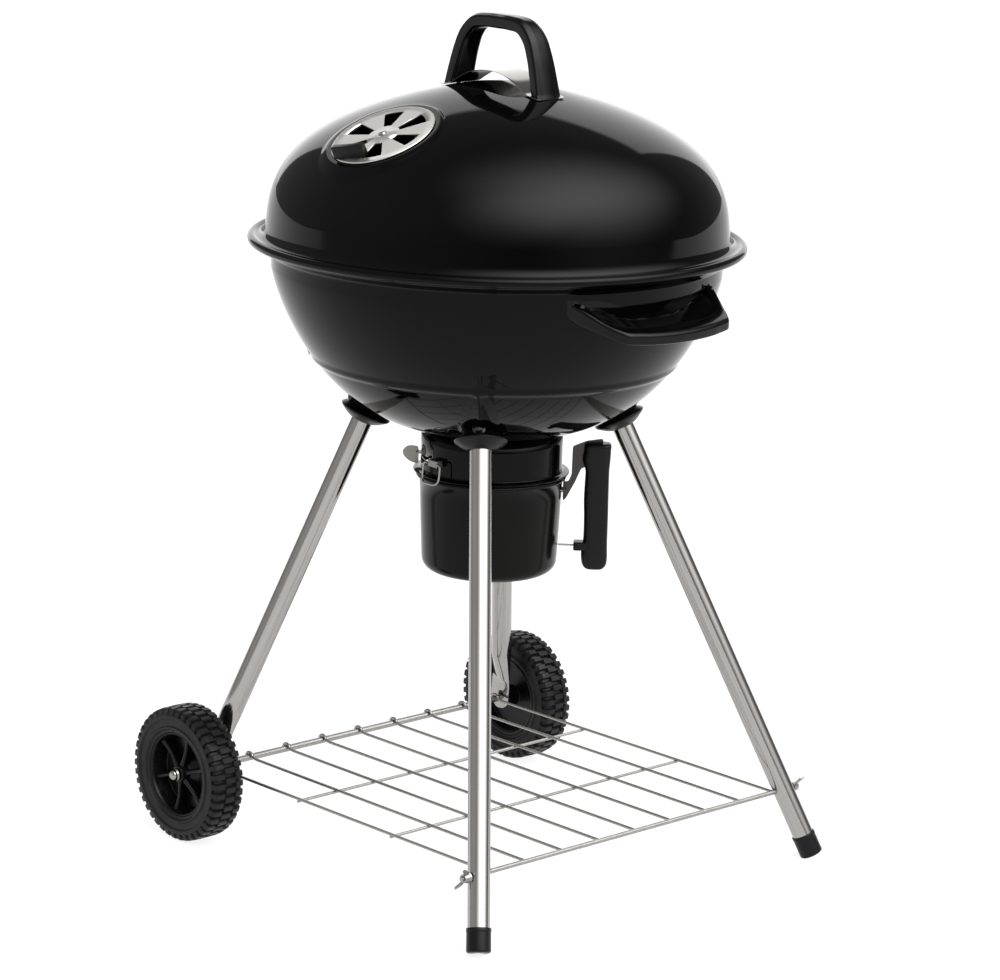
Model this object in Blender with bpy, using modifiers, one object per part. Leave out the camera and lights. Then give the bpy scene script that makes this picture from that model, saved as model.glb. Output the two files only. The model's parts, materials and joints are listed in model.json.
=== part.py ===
"""Kettle charcoal grill: a bowl and lid on four legs, with two wheels, a wire shelf and an ash bucket.

Metres, +Z up, floor at z = 0. The kettle's axis is the Z axis. The lid vent faces -Y, the side handle
and the two capped legs are at +X, and the wheels are at -X. Run with blender --background --python.
"""
import math

import bmesh
import bpy
from mathutils import Matrix, Vector

# ---- driving dimensions ----
GAP = 0.0003                # clearance between pieces that touch
SHEET = 0.0014              # enamelled steel of bowl and lid

RIM_RADIUS = 0.285          # outside of the lid's rolled edge
RIM_Z = 0.7195              # height of the rolled edge's centre
LID_BEAD = 0.0055           # radius of the lid's rolled edge
DOME = dict(radius=0.265, height=0.2047, n=1.3, m=3.5, z0=0.698)
BOWL = dict(radius=0.258, height=0.192, n=2.9, m=1.3, z0=0.689)
BOWL_BEAD = (0.2665, 0.7155, 0.006)     # r, z and radius of the bowl's rolled edge
BOWL_FLOOR_Z = 0.4985       # outside of the bowl's flat bottom
SHAFT_HOLE = 0.0046         # radius of the sweeper shaft's hole in the bowl
ASH_SLOTS = 3               # openings in the bowl's floor

VENT_R = 0.178              # vent centre, from the kettle's axis
VENT_SEAT_Z = -0.0045       # seat plane, below the dome's tangent at the vent centre
VENT_SEAT_R = 0.068
DAMPER_R = 0.0605
VENT_HOLES = 6
RIVET_R = 0.003

HANDLE_TOP_Z = 0.977
HANDLE_FOOT_X = 0.0728
HANDLE_BAND = 0.0125        # thickness of the lid handle
SHIELD_APEX_Z = 0.915
SCREW_R = 0.0025

SIDE_REACH = 0.305          # outermost point of the side handle
LEG_R = 0.0125
LEG_WALL = 0.001
SOCKET = Vector((0.10, 0.11, 0.51))     # leg axis where the visible tube begins
CAPPED_FOOT = Vector((0.286, 0.266, 0.0035))
WHEEL_FOOT = Vector((-0.2149, 0.2275, 0.112))
CAP_R = 0.014
CAP_LENGTH = 0.027

AXLE_X = -0.225
AXLE_R = 0.004
WHEEL_R = 0.08
WHEEL_Y = 0.2635            # middle of the tyre
WHEEL_WIDTH = 0.044
HUB_R = 0.050
HUB_RIBS = 6
RIB_DEPTH = 0.0145
RIB_BACK = 0.0005           # back of the ribs, outwards from the wheel's middle

SHELF_Z = 0.08
SHELF_BAR_X = 0.2568
SHELF_BAR_R = 0.0028
SHELF_WIRE_R = 0.0018
SHELF_SPACING = 0.057
SHELF_CROSS_X = (-0.066, 0.096)

COLLAR_R = 0.082
COLLAR_BOTTOM_Z = 0.4505
BUCKET_TOP_Z = 0.4502
BUCKET_BOTTOM_Z = 0.333
BUCKET_TOP_R = 0.083
BUCKET_BASE_R = 0.0785
BRACKET_RIVET_R = 0.0018
GRIP_R = 0.122              # bucket grip, from the kettle's axis
SWEEPER_ANGLE = math.radians(225)
GRIP_ANGLE = math.radians(45)

COOKING_GRATE_Z = 0.700
COOKING_GRATE_R = 0.249
CHARCOAL_GRATE_Z = 0.568
CHARCOAL_GRATE_R = 0.184

ROUND = 32                  # segments of large turned pieces
WHEEL_ROUND = 28             # segments of the wheels
SMALL_ROUND = 16            # segments of small turned pieces

PARTS = "kettle_charcoal_grill"
CUTTERS = "cutters"


# ---- scene, collections and materials ----
def clear_scene():
    for obj in list(bpy.data.objects):
        bpy.data.objects.remove(obj, do_unlink=True)
    for name in (PARTS, CUTTERS):
        collection = bpy.data.collections.new(name)
        bpy.context.scene.collection.children.link(collection)


def material(name, colour, roughness, metallic=0.0):
    """A Principled material, made once for each name."""
    mat = bpy.data.materials.get(name)
    if mat is None:
        mat = bpy.data.materials.new(name)
        mat.use_nodes = True
        shader = mat.node_tree.nodes["Principled BSDF"]
        shader.inputs["Base Color"].default_value = (*colour, 1.0)
        shader.inputs["Roughness"].default_value = roughness
        shader.inputs["Metallic"].default_value = metallic
    return mat


def enamel():
    return material("black_enamel", (0.006, 0.006, 0.006), 0.12)


def gloss_plastic():
    return material("gloss_black_plastic", (0.008, 0.008, 0.008), 0.2)


def matte_plastic():
    return material("matte_black_plastic", (0.012, 0.012, 0.012), 0.5)


def tyre_plastic():
    return material("tyre_black", (0.02, 0.02, 0.02), 0.65)


def stainless():
    return material("stainless_steel", (0.62, 0.61, 0.6), 0.2, 1.0)


def zinc_wire():
    return material("zinc_wire", (0.5, 0.5, 0.5), 0.3, 1.0)


def plated_steel():
    return material("plated_steel", (0.55, 0.54, 0.52), 0.35, 1.0)


def collect(name, mesh, mat, collection=PARTS):
    obj = bpy.data.objects.new(name, mesh)
    bpy.data.collections[collection].objects.link(obj)
    if mat is not None:
        mesh.materials.clear()
        mesh.materials.append(mat)
    if collection == CUTTERS:
        obj.hide_render = True
        obj.display_type = 'WIRE'
    return obj


def smooth(obj, degrees=35):
    obj.data.shade_smooth()
    obj.data.set_sharp_from_angle(angle=math.radians(degrees))
    return obj


def pivot(name, location):
    """An empty on a joint's axis, for the pieces that turn or slide together."""
    empty = bpy.data.objects.new(name, None)
    empty.empty_display_size = 0.02
    empty.location = location
    bpy.data.collections[PARTS].objects.link(empty)
    return empty


def hang(parent, *children):
    """Parent pieces that are already in place, and leave them there."""
    for child in children:
        child.parent = parent
        child.matrix_parent_inverse = Matrix.Translation(parent.location).inverted()


# ---- shape helpers ----
def turned(name, profile, mat, steps=SMALL_ROUND, closed=True, collection=PARTS):
    """Screw a profile of (r, z) points round Z. It runs down its outer side; an open one ends on the axis."""
    mesh = bpy.data.meshes.new(name)
    count = len(profile)
    edges = [(i, i + 1) for i in range(count - 1)]
    if closed:
        edges.append((count - 1, 0))
    mesh.from_pydata([(r, 0.0, z) for r, z in profile], edges, [])
    obj = collect(name, mesh, mat, collection)
    screw = obj.modifiers.new("turn", 'SCREW')
    screw.axis = 'Z'
    screw.angle = math.tau
    screw.steps = steps
    screw.render_steps = steps
    screw.use_merge_vertices = True
    screw.merge_threshold = 0.00001
    return smooth_turned(obj)


def smooth_turned(obj):
    """The Screw modifier shades its faces smooth, and its sharp edges are split by angle."""
    obj.modifiers["turn"].use_smooth_shade = True
    return obj


def offset_line(points, distance):
    """Shift a line of (r, z) points that runs down an outer side outwards by a distance."""
    shifted = []
    for i, (r, z) in enumerate(points):
        ahead = points[min(i + 1, len(points) - 1)]
        behind = points[max(i - 1, 0)]
        dr, dz = ahead[0] - behind[0], ahead[1] - behind[1]
        length = math.hypot(dr, dz)
        shifted.append((max(r - distance * dz / length, 0.0), z + distance * dr / length))
    return shifted


def arc(cx, cz, radius, start, end, steps):
    """Points along an arc, angles in degrees."""
    angles = [math.radians(start + (end - start) * i / steps) for i in range(steps + 1)]
    return [(cx + radius * math.cos(a), cz + radius * math.sin(a)) for a in angles]


def sector(r_in, r_out, middle, half, steps=4):
    """Outline of a ring's sector, angles in radians."""
    ends = (math.degrees(middle - half), math.degrees(middle + half))
    return arc(0, 0, r_out, *ends, steps) + arc(0, 0, r_in, *reversed(ends), steps)


def to_mesh(curve_obj, mat, collection=PARTS):
    """Make a curve object a closed mesh object of the same name."""
    name = curve_obj.name
    bpy.context.view_layer.update()
    depsgraph = bpy.context.evaluated_depsgraph_get()
    mesh = bpy.data.meshes.new_from_object(curve_obj.evaluated_get(depsgraph))
    matrix = curve_obj.matrix_world.copy()
    bpy.data.objects.remove(curve_obj, do_unlink=True)
    grid = bmesh.new()
    grid.from_mesh(mesh)
    bmesh.ops.remove_doubles(grid, verts=grid.verts, dist=0.00001)
    bmesh.ops.recalc_face_normals(grid, faces=grid.faces)
    grid.to_mesh(mesh)
    grid.free()
    mesh.name = name
    obj = collect(name, mesh, mat, collection)
    obj.name = name
    obj.matrix_world = matrix
    return obj


def prism(name, outlines, thickness, mat, matrix=None, collection=PARTS):
    """A flat piece: outlines in local XY, the first outside and the rest holes, thickness centred on Z."""
    curve = bpy.data.curves.new(name, 'CURVE')
    curve.dimensions = '2D'
    curve.fill_mode = 'BOTH'
    curve.extrude = thickness / 2
    for outline in outlines:
        spline = curve.splines.new('POLY')
        spline.points.add(len(outline) - 1)
        for point, (x, y) in zip(spline.points, outline):
            point.co = (x, y, 0.0, 1.0)
        spline.use_cyclic_u = True
    obj = bpy.data.objects.new(name, curve)
    bpy.data.collections[collection].objects.link(obj)
    if matrix is not None:
        obj.matrix_world = matrix
    return to_mesh(obj, mat, collection)


def wire(name, paths, radius, mat, resolution=1, cyclic=False, collection=PARTS):
    """Round wire along each path, as one object of separate closed rods."""
    curve = bpy.data.curves.new(name, 'CURVE')
    curve.dimensions = '3D'
    curve.bevel_depth = radius
    curve.bevel_resolution = resolution
    curve.use_fill_caps = True
    for path in paths:
        spline = curve.splines.new('POLY')
        spline.points.add(len(path) - 1)
        for point, place in zip(spline.points, path):
            point.co = (*place, 1.0)
        spline.use_cyclic_u = cyclic
    obj = bpy.data.objects.new(name, curve)
    bpy.data.collections[collection].objects.link(obj)
    return smooth(to_mesh(obj, mat, collection))


def block(name, size, centre, mat, rotation=(0, 0, 0), bevel=0.0, collection=PARTS):
    grid = bmesh.new()
    bmesh.ops.create_cube(grid, size=1.0)
    bmesh.ops.scale(grid, vec=size, verts=grid.verts)
    mesh = bpy.data.meshes.new(name)
    grid.to_mesh(mesh)
    grid.free()
    obj = collect(name, mesh, mat, collection)
    obj.location = centre
    obj.rotation_euler = rotation
    if bevel:
        edge = obj.modifiers.new("edge", 'BEVEL')
        edge.width = bevel
        edge.segments = 2
    return obj


def cylinder(name, radius, length, centre, axis=(0, 0, 1), mat=None, segments=16, collection=CUTTERS):
    grid = bmesh.new()
    bmesh.ops.create_cone(grid, cap_ends=True, segments=segments, radius1=radius, radius2=radius,
                          depth=length)
    mesh = bpy.data.meshes.new(name)
    grid.to_mesh(mesh)
    grid.free()
    obj = collect(name, mesh, mat, collection)
    aim(obj, centre, axis)
    return smooth(obj)


def aim(obj, location, axis):
    """Place an object with its local +Z along axis."""
    obj.rotation_mode = 'QUATERNION'
    obj.rotation_quaternion = Vector(axis).to_track_quat('Z', 'Y')
    obj.location = location
    return obj


def boolean(obj, other, operation):
    step = obj.modifiers.new(operation.lower(), 'BOOLEAN')
    step.operation = operation
    step.solver = 'EXACT'
    step.object = other
    return obj


def cut(obj, *cutters):
    for cutter in cutters:
        boolean(obj, cutter, 'DIFFERENCE')
    return obj


def join(obj, *others):
    for other in others:
        boolean(obj, other, 'UNION')
    return obj


def radial(angle, r, z):
    return Vector((r * math.cos(angle), r * math.sin(angle), z))


def upright_plate(angle):
    """Matrix of a flat piece that stands in the vertical plane through the kettle's axis.

    Its local X runs outwards, its local Y runs up, and its local Z is its thickness.
    """
    out = Vector((math.cos(angle), math.sin(angle), 0.0))
    up = Vector((0.0, 0.0, 1.0))
    side = out.cross(up)
    return Matrix((out, up, side)).transposed().to_4x4()


# ---- the kettle's outer lines ----
def shell_point(shell, angle, sign):
    """A point of a superellipse: angle 0 is its widest place and 90 degrees its pole."""
    r = shell["radius"] * math.cos(angle) ** (2 / shell["n"])
    z = shell["z0"] + sign * shell["height"] * math.sin(angle) ** (2 / shell["m"])
    return r, z


def shell_height(shell, r, sign):
    cosine = (r / shell["radius"]) ** (shell["n"] / 2)
    return shell["z0"] + sign * shell["height"] * math.sqrt(1 - cosine ** 2) ** (2 / shell["m"])


def dome_z(r):
    return shell_height(DOME, r, 1)


def bowl_z(r):
    return shell_height(BOWL, r, -1)


def dome_line():
    angles = (72, 58, 46, 35, 24, 14, 6)
    return [(0.0, DOME["z0"] + DOME["height"])] + [shell_point(DOME, math.radians(a), 1) for a in angles]


def bowl_line():
    """The bowl's outside, from its straight wall down to the edge of the flat bottom."""
    return [shell_point(BOWL, math.radians(10 * i), -1) for i in range(9)]


VENT_CENTRE = Vector((0.0, -VENT_R, dome_z(VENT_R)))
VENT_TILT = math.atan((dome_z(VENT_R - 0.01) - dome_z(VENT_R + 0.01)) / 0.02)
VENT_MATRIX = Matrix.Translation(VENT_CENTRE) @ Matrix.Rotation(VENT_TILT, 4, 'X')
VENT_AXIS = VENT_MATRIX.to_3x3() @ Vector((0, 0, 1))


def vent_place(x, y, z):
    return VENT_MATRIX @ Vector((x, y, z))


def vent_openings():
    pitch = math.tau / VENT_HOLES
    return [sector(0.019, 0.050, pitch * i, math.radians(14), 3) for i in range(VENT_HOLES)]


# ---- kettle ----
def make_bowl():
    bead_r, bead_z, bead = BOWL_BEAD
    wall = [(bead_r - 0.0045, bead_z - 0.0048), (BOWL["radius"] + 0.0005, 0.702)] + bowl_line()
    floor = [(0.070, BOWL_FLOOR_Z), (SHAFT_HOLE, BOWL_FLOOR_Z)]
    inner_wall = offset_line(wall, -SHEET)[1:]
    inner_floor = [(r, z + SHEET) for r, z in floor]
    bead_arc = arc(bead_r, bead_z, bead, 190, -100, 5)
    profile = bead_arc + wall + floor + inner_floor[::-1] + inner_wall[::-1]
    bowl = turned("bowl", profile, enamel(), ROUND)
    slots = [sector(0.024, 0.062, math.tau * i / ASH_SLOTS, math.radians(27), 5) for i in range(ASH_SLOTS)]
    cut(bowl, prism("ash_slots", slots, 0.02, None, Matrix.Translation((0, 0, BOWL_FLOOR_Z)), CUTTERS))
    for side in (-1, 1):
        cut(bowl, side_screw_hole(side))
    return bowl


def make_lid():
    dome = dome_line()
    flare = [(0.2654, 0.7285), (0.2690, 0.7236), (0.2752, 0.7220)]
    outer = dome + flare
    inner = offset_line(outer, -SHEET)
    inner[0] = (0.0, outer[0][1] - SHEET)
    bead_centre = RIM_RADIUS - LID_BEAD
    bead_arc = arc(bead_centre, RIM_Z, LID_BEAD, 135, -180, 7)
    profile = outer + bead_arc + inner[::-1]
    lid = turned("lid", profile, enamel(), ROUND, closed=False)
    seat = cylinder("vent_seat", VENT_SEAT_R, 0.005, vent_place(0, 0, VENT_SEAT_Z - 0.0025), VENT_AXIS,
                    enamel(), 24)
    window = cylinder("vent_window", VENT_SEAT_R - 0.0015, 0.016, vent_place(0, 0, VENT_SEAT_Z + 0.008),
                      VENT_AXIS, None, 24)
    openings = prism("seat_openings", vent_openings(), 0.03, None, VENT_MATRIX, CUTTERS)
    rivet_hole = cylinder("seat_rivet_hole", RIVET_R + GAP, 0.03, VENT_CENTRE, VENT_AXIS)
    join(cut(lid, window), seat)
    cut(lid, openings, rivet_hole)
    for side in (-1, 1):
        cut(lid, lid_screw_hole(side, "lid", 0.03))
    return lid


def make_vent():
    damper = prism("vent_damper", [arc(0, 0, DAMPER_R, 0, 348, 29), arc(0, 0, RIVET_R + GAP, 0, 330, 11)]
                   + vent_openings(), 0.0012, stainless(),
                   VENT_MATRIX @ Matrix.Translation((0, 0, VENT_SEAT_Z + GAP + 0.0006)))
    top = VENT_SEAT_Z + GAP + 0.0012
    profile = [(0.0, top + 0.0028), (0.003, top + 0.0025), (0.0055, top + 0.0012), (0.006, top + GAP),
               (RIVET_R, top + GAP), (RIVET_R, VENT_SEAT_Z - 0.005 - GAP),
               (0.005, VENT_SEAT_Z - 0.005 - GAP), (0.005, VENT_SEAT_Z - 0.0066), (0.0, VENT_SEAT_Z - 0.0066)]
    rivet = aim(turned("vent_rivet", profile, stainless(), 16, closed=False), VENT_CENTRE, VENT_AXIS)
    tab_z = top + GAP
    tab = block("damper_tab", (0.037, 0.007, 0.012), vent_place(-0.002, -0.0485, tab_z + 0.006),
                matte_plastic(), bevel=0.001)
    tab.rotation_mode = 'QUATERNION'
    tab.rotation_quaternion = (VENT_MATRIX @ Matrix.Rotation(math.radians(21), 4, 'Z')).to_quaternion()
    return damper, rivet, tab


def lid_screw_place(side):
    return Vector((side * HANDLE_FOOT_X, 0.0, dome_z(HANDLE_FOOT_X)))


def lid_screw_hole(side, what, length):
    return cylinder(f"screw_hole_{what}_{side + 1}", SCREW_R + GAP, length, lid_screw_place(side))


def band(points, thickness):
    """Closed outline of a strip of even thickness along a line of (x, z) points."""
    return offset_band(points, thickness / 2) + offset_band(points, -thickness / 2)[::-1]


def offset_band(points, distance):
    shifted = []
    for i, (x, z) in enumerate(points):
        ahead, behind = points[min(i + 1, len(points) - 1)], points[max(i - 1, 0)]
        dx, dz = ahead[0] - behind[0], ahead[1] - behind[1]
        length = math.hypot(dx, dz)
        shifted.append((x - distance * dz / length, z + distance * dx / length))
    return shifted


def mirrored(points):
    """A line from x < 0 to the middle, and its mirror image beyond."""
    return points + [(-x, z) for x, z in reversed(points) if x < -1e-6]


def make_lid_handle():
    """An arch that is widest across at its feet, with a blind screw hole up each foot."""
    base = shield_tab_z(HANDLE_FOOT_X) + 0.0007
    top = HANDLE_TOP_Z - HANDLE_BAND / 2
    half = ([(-HANDLE_FOOT_X - 0.0012, base - 0.004), (-0.0672, base + 0.020), (-0.0605, base + 0.045)]
            + arc(-0.0360, top - 0.0215, 0.0215, 165, 100, 4)[0:5] + [(-0.018, top - 0.0001), (0.0, top)])
    stand = Matrix.Rotation(math.radians(90), 4, 'X')
    handle = prism("lid_handle", [band(mirrored(half), HANDLE_BAND)], 0.036, gloss_plastic(), stand)
    height = HANDLE_TOP_Z - base
    for vertex in handle.data.vertices:
        vertex.co.z *= 1 - 0.28 * min(max((vertex.co.y - base) / height, 0.0), 1.0)
    cut(handle, lid_screw_hole(-1, "handle", 0.030), lid_screw_hole(1, "handle", 0.030))
    under = [(x, shield_tab_z(abs(x)) + 0.0004 + GAP) for x in (-0.11, -0.06, 0.06, 0.11)]
    cut(handle, prism("handle_base_cut", [under + [(0.11, 0.8), (-0.11, 0.8)]], 0.1, None, stand, CUTTERS))
    edge = handle.modifiers.new("edge", 'BEVEL')
    edge.width = 0.003
    edge.segments = 1
    edge.angle_limit = math.radians(50)
    handle.modifiers.move(len(handle.modifiers) - 1, 0)
    return smooth(handle, 50)


def shield_tab_z(x):
    """Middle of the heat shield's end, which lies along the dome under the handle's foot."""
    inner, outer = 0.0620, 0.0825
    slope = (dome_z(outer) - dome_z(inner)) / (outer - inner)
    return dome_z(inner) + slope * (x - inner) + 0.0004 + 2 * GAP


def make_heat_shield():
    """A polished strip: an end along the dome under each foot of the handle, and an arch between them."""
    half = [(-0.0825, shield_tab_z(0.0825)), (-0.0620, shield_tab_z(0.0620)),
            (-0.052, shield_tab_z(0.0620) + 0.0055), (-0.040, SHIELD_APEX_Z - 0.0085),
            (-0.026, SHIELD_APEX_Z - 0.0035), (-0.013, SHIELD_APEX_Z - 0.0009), (0.0, SHIELD_APEX_Z - 0.0004)]
    stand = Matrix.Rotation(math.radians(90), 4, 'X')
    shield = prism("lid_heat_shield", [band(mirrored(half), 0.0008)], 0.044, stainless(), stand)
    for side in (-1, 1):
        cut(shield, lid_screw_hole(side, "shield", 0.030))
    return shield


def make_lid_screws():
    screws = []
    for i, side in enumerate((-1, 1)):
        place = lid_screw_place(side)
        under = -SHEET - 0.0035
        profile = [(0.0, 0.013), (SCREW_R, 0.013), (SCREW_R, under), (0.0055, under),
                   (0.0055, under - 0.0015), (0.0035, under - 0.003), (0.0, under - 0.003)]
        screws.append(aim(turned(f"lid_handle_screw_{i + 1}", profile, plated_steel(), 10, closed=False),
                          place, (0, 0, 1)))
    return screws


# ---- side handle ----
SIDE_FOOT_Y = 0.098
SIDE_SCREW_Z = 0.690


def bowl_envelope(name, grow):
    """Solid of the bowl's outside, grown by a clearance, for cutting the pieces that hug it."""
    line = offset_line([(BOWL["radius"], 0.75), (BOWL["radius"], 0.70)] + bowl_line(), grow)
    return turned(name, [(0.0, 0.75)] + line + [(0.0, line[-1][1])], None, ROUND, closed=False,
                  collection=CUTTERS)


def side_screw_hole(side):
    angle = math.asin(SIDE_FOOT_Y / BOWL["radius"]) * side
    return cylinder(f"side_screw_hole_{side + 1}", SCREW_R + GAP, 0.03,
                    radial(angle, BOWL["radius"], SIDE_SCREW_Z), radial(angle, 1, 0))


def make_side_handle(envelope):
    """A scoop: a rim of arms and grip bar round a floor that slopes down and outwards."""
    outer = ([(0.215, -0.118), (0.245, -0.109), (0.285, -0.087), (0.2955, -0.078)]
             + [(SIDE_REACH - 0.0095 * (y / 0.078) ** 2, y) for y in (-0.05, -0.025, 0.0, 0.025, 0.05)]
             + [(0.2955, 0.078), (0.285, 0.087), (0.245, 0.109), (0.215, 0.118)])
    inner = ([(0.215, 0.108), (0.243, 0.099), (0.276, 0.081), (0.2805, 0.074)]
             + [(SIDE_REACH - 0.020 - 0.0045 * (y / 0.074) ** 2, y) for y in (0.05, 0.0, -0.05)]
             + [(0.2805, -0.074), (0.276, -0.081), (0.243, -0.099), (0.215, -0.108)])
    rim = prism("side_handle", [outer + inner], 0.021, gloss_plastic(), Matrix.Translation((0, 0, 0.6795)))
    plate = prism("side_handle_floor", [outer], 0.0035, gloss_plastic(), Matrix.Translation((0, 0, 0.6712)),
                  CUTTERS)
    for obj in (rim, plate):
        for vertex in obj.data.vertices:
            vertex.co.z -= (vertex.co.x - 0.245) * 0.36
    join(rim, plate)
    cut(rim, envelope)
    for side in (-1, 1):
        cut(rim, side_screw_hole(side))
    return rim


def make_side_screws():
    screws = []
    for i, side in enumerate((-1, 1)):
        angle = math.asin(SIDE_FOOT_Y / BOWL["radius"]) * side
        head = -SHEET - 0.0014
        profile = [(0.0, 0.007), (SCREW_R, 0.007), (SCREW_R, head), (0.0055, head), (0.0055, head - 0.0015),
                   (0.0035, head - 0.003), (0.0, head - 0.003)]
        screws.append(aim(turned(f"side_handle_screw_{i + 1}", profile, plated_steel(), 10, closed=False),
                          radial(angle, BOWL["radius"], SIDE_SCREW_Z), radial(angle, 1, 0)))
    return screws


# ---- stand ----
LEGS = (("front", 1, -1), ("back", 1, 1), ("wheel_front", -1, -1), ("wheel_back", -1, 1))
BOLT_S = 0.005              # bolt, above the visible top of the leg along its axis
BOLT_FACE = 0.0250          # socket's outer face at the bolt, from the leg's axis


def leg_frame(x_side, y_side):
    """The leg's top point, its unit direction up the leg, and the outward direction across it."""
    top = Vector((SOCKET.x * x_side, SOCKET.y * y_side, SOCKET.z))
    foot = CAPPED_FOOT if x_side > 0 else WHEEL_FOOT
    end = Vector((foot.x, foot.y * y_side, foot.z))
    up = (top - end).normalized()
    out = Vector((top.x, top.y, 0.0)).normalized()
    out = (out - up * out.dot(up)).normalized()
    return top, end, up, out


def make_socket(name, x_side, y_side, envelope):
    """A saucer that hugs the bowl round the top of a leg."""
    top, _, up, out = leg_frame(x_side, y_side)
    profile = [(0.0, 0.030), (0.022, 0.030), (0.0300, 0.0125), (0.0290, 0.0105), (0.0200, 0.0020),
               (0.0150, -0.0025), (LEG_R + GAP, -0.0025), (LEG_R + GAP, 0.0090), (0.0, 0.0090)]
    socket = aim(turned(f"leg_socket_{name}", profile, matte_plastic(), 20, closed=False), top, up)
    hole = cylinder(f"socket_bolt_hole_{name}", SCREW_R + GAP, 0.030, top + up * BOLT_S + out * 0.020, out)
    return cut(socket, envelope, hole)


def make_bolt(name, x_side, y_side):
    top, _, up, out = leg_frame(x_side, y_side)
    face = 0.0045
    profile = [(0.0, face + 0.004), (0.003, face + 0.0036), (0.0052, face + 0.002), (0.0060, face),
               (SCREW_R, face), (SCREW_R, -0.0160), (0.0, -0.0160)]
    bolt = turned(f"socket_bolt_{name}", profile, stainless(), 10, closed=False)
    return aim(bolt, top + up * BOLT_S + out * BOLT_FACE, out)


def make_leg(name, x_side, y_side):
    top, end, up, out = leg_frame(x_side, y_side)
    head = 0.0085
    foot = -(top - end).length
    if x_side > 0:
        foot += 0.0030
    profile = [(LEG_R, head), (LEG_R, foot), (LEG_R - LEG_WALL, foot), (LEG_R - LEG_WALL, head)]
    leg = aim(turned(f"leg_{name}", profile, stainless(), 16), top, up)
    hole = cylinder(f"leg_bolt_hole_{name}", SCREW_R + GAP, 0.020, top + up * BOLT_S + out * 0.012, out)
    cut(leg, hole)
    if x_side > 0:
        cut(leg, cylinder(f"leg_bar_hole_{name}", SHELF_BAR_R + GAP, 0.060,
                          (SHELF_BAR_X, 0.2415 * y_side, SHELF_Z), (0, 1, 0)))
    else:
        join(leg, axle_lug(name, y_side))
    return leg


def axle_lug(name, y_side):
    """The pressed-flat end of a wheel leg, with the axle's hole through it."""
    outline = (arc(0.0, 0.0, 0.0125, 165, 330, 8)
               + [(0.0250, 0.040), (0.0235, 0.056), (0.0010, 0.056)])
    hole = arc(0.0, 0.0, AXLE_R + GAP, 0, 330, 11)
    stand = Matrix.Rotation(math.radians(90), 4, 'X')
    place = Matrix.Translation((AXLE_X, 0.2350 * y_side, SHELF_Z))
    return prism(f"axle_lug_{name}", [outline, hole], 0.0028, stainless(), place @ stand, CUTTERS)


def make_cap(name, x_side, y_side):
    """A moulded cup over the foot of a leg, with a small flat where it stands."""
    _, end, up, _ = leg_frame(x_side, y_side)
    bore = LEG_R + GAP
    profile = [(0.0, 0.0027), (bore, 0.0027), (bore, CAP_LENGTH), (CAP_R, CAP_LENGTH), (CAP_R, 0.0015),
               (CAP_R - 0.0015, 0.0), (0.0, 0.0)]
    cap = turned(f"leg_cap_{name}", profile, matte_plastic(), 16, closed=False)
    aim(cap, end, up)
    floor = block(f"floor_cut_{name}", (0.1, 0.1, 0.02), (end.x, end.y, -0.01), None, collection=CUTTERS)
    return cut(cap, floor)


# ---- wheels ----
def tyre_profile():
    half = WHEEL_WIDTH / 2
    bore = HUB_R + GAP
    right = [(WHEEL_R, half - 0.010), (WHEEL_R - 0.003, half - 0.003), (WHEEL_R - 0.009, half),
             (0.062, half), (0.056, half - 0.003), (bore, half - 0.003)]
    return right[::-1] + [(r, -z) for r, z in right]


def make_wheel(side_name, y_side):
    spin = pivot(f"wheel_{side_name}_spin", (AXLE_X, WHEEL_Y * y_side, WHEEL_R))
    place = Vector((AXLE_X, WHEEL_Y * y_side, WHEEL_R))
    outward = (0, y_side, 0)
    tyre = aim(turned(f"tyre_{side_name}", tyre_profile(), tyre_plastic(), WHEEL_ROUND),
               place, outward)
    bore = AXLE_R + GAP
    face = WHEEL_WIDTH / 2 - 0.003
    profile = [(bore, 0.0165), (0.0105, 0.0165), (0.0120, 0.0080), (0.0420, 0.0050), (0.0445, face - 0.002),
               (0.0465, face), (HUB_R, face), (HUB_R, -face), (0.0465, -face), (0.0445, -face + 0.002),
               (0.0420, -0.0010), (0.0130, -0.0030), (0.0120, -0.0235), (bore, -0.0235)]
    hub = aim(turned(f"wheel_hub_{side_name}", profile, gloss_plastic(), WHEEL_ROUND), place, outward)
    spokes = [rib_outline(math.tau * i / HUB_RIBS) for i in range(HUB_RIBS)]
    ribs = prism(f"hub_ribs_{side_name}", spokes, RIB_DEPTH, None, Matrix(), CUTTERS)
    join(hub, aim(ribs, place + Vector(outward) * (RIB_BACK + RIB_DEPTH / 2), outward))
    hang(spin, tyre, hub)
    return spin


def rib_outline(turn):
    """A spoke's rectangle in the wheel's plane, from the hub's boss to its rim."""
    along = Vector((math.cos(turn), math.sin(turn)))
    across = Vector((-along.y, along.x)) * 0.00225
    inner, outer = along * 0.0095, along * 0.046
    return [tuple(corner) for corner in (inner + across, inner - across, outer - across, outer + across)]


def make_axle():
    reach = WHEEL_Y + 0.0215
    axle = cylinder("axle", AXLE_R, 2 * reach, (AXLE_X, 0, SHELF_Z), (0, 1, 0), plated_steel(), 16, PARTS)
    for name, y_side in (("front", -1), ("back", 1)):
        profile = [(0.0, 0.0045), (0.0035, 0.0042), (0.0060, 0.0020), (0.0065, -0.0010), (0.0075, -0.0030),
                   (0.0075, -0.0040), (AXLE_R + GAP, -0.0040), (AXLE_R + GAP, GAP), (0.0, GAP)]
        cap = turned(f"axle_cap_{name}", profile, stainless(), 14, closed=False)
        aim(cap, (AXLE_X, reach * y_side, SHELF_Z), (0, y_side, 0))
    return axle


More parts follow.
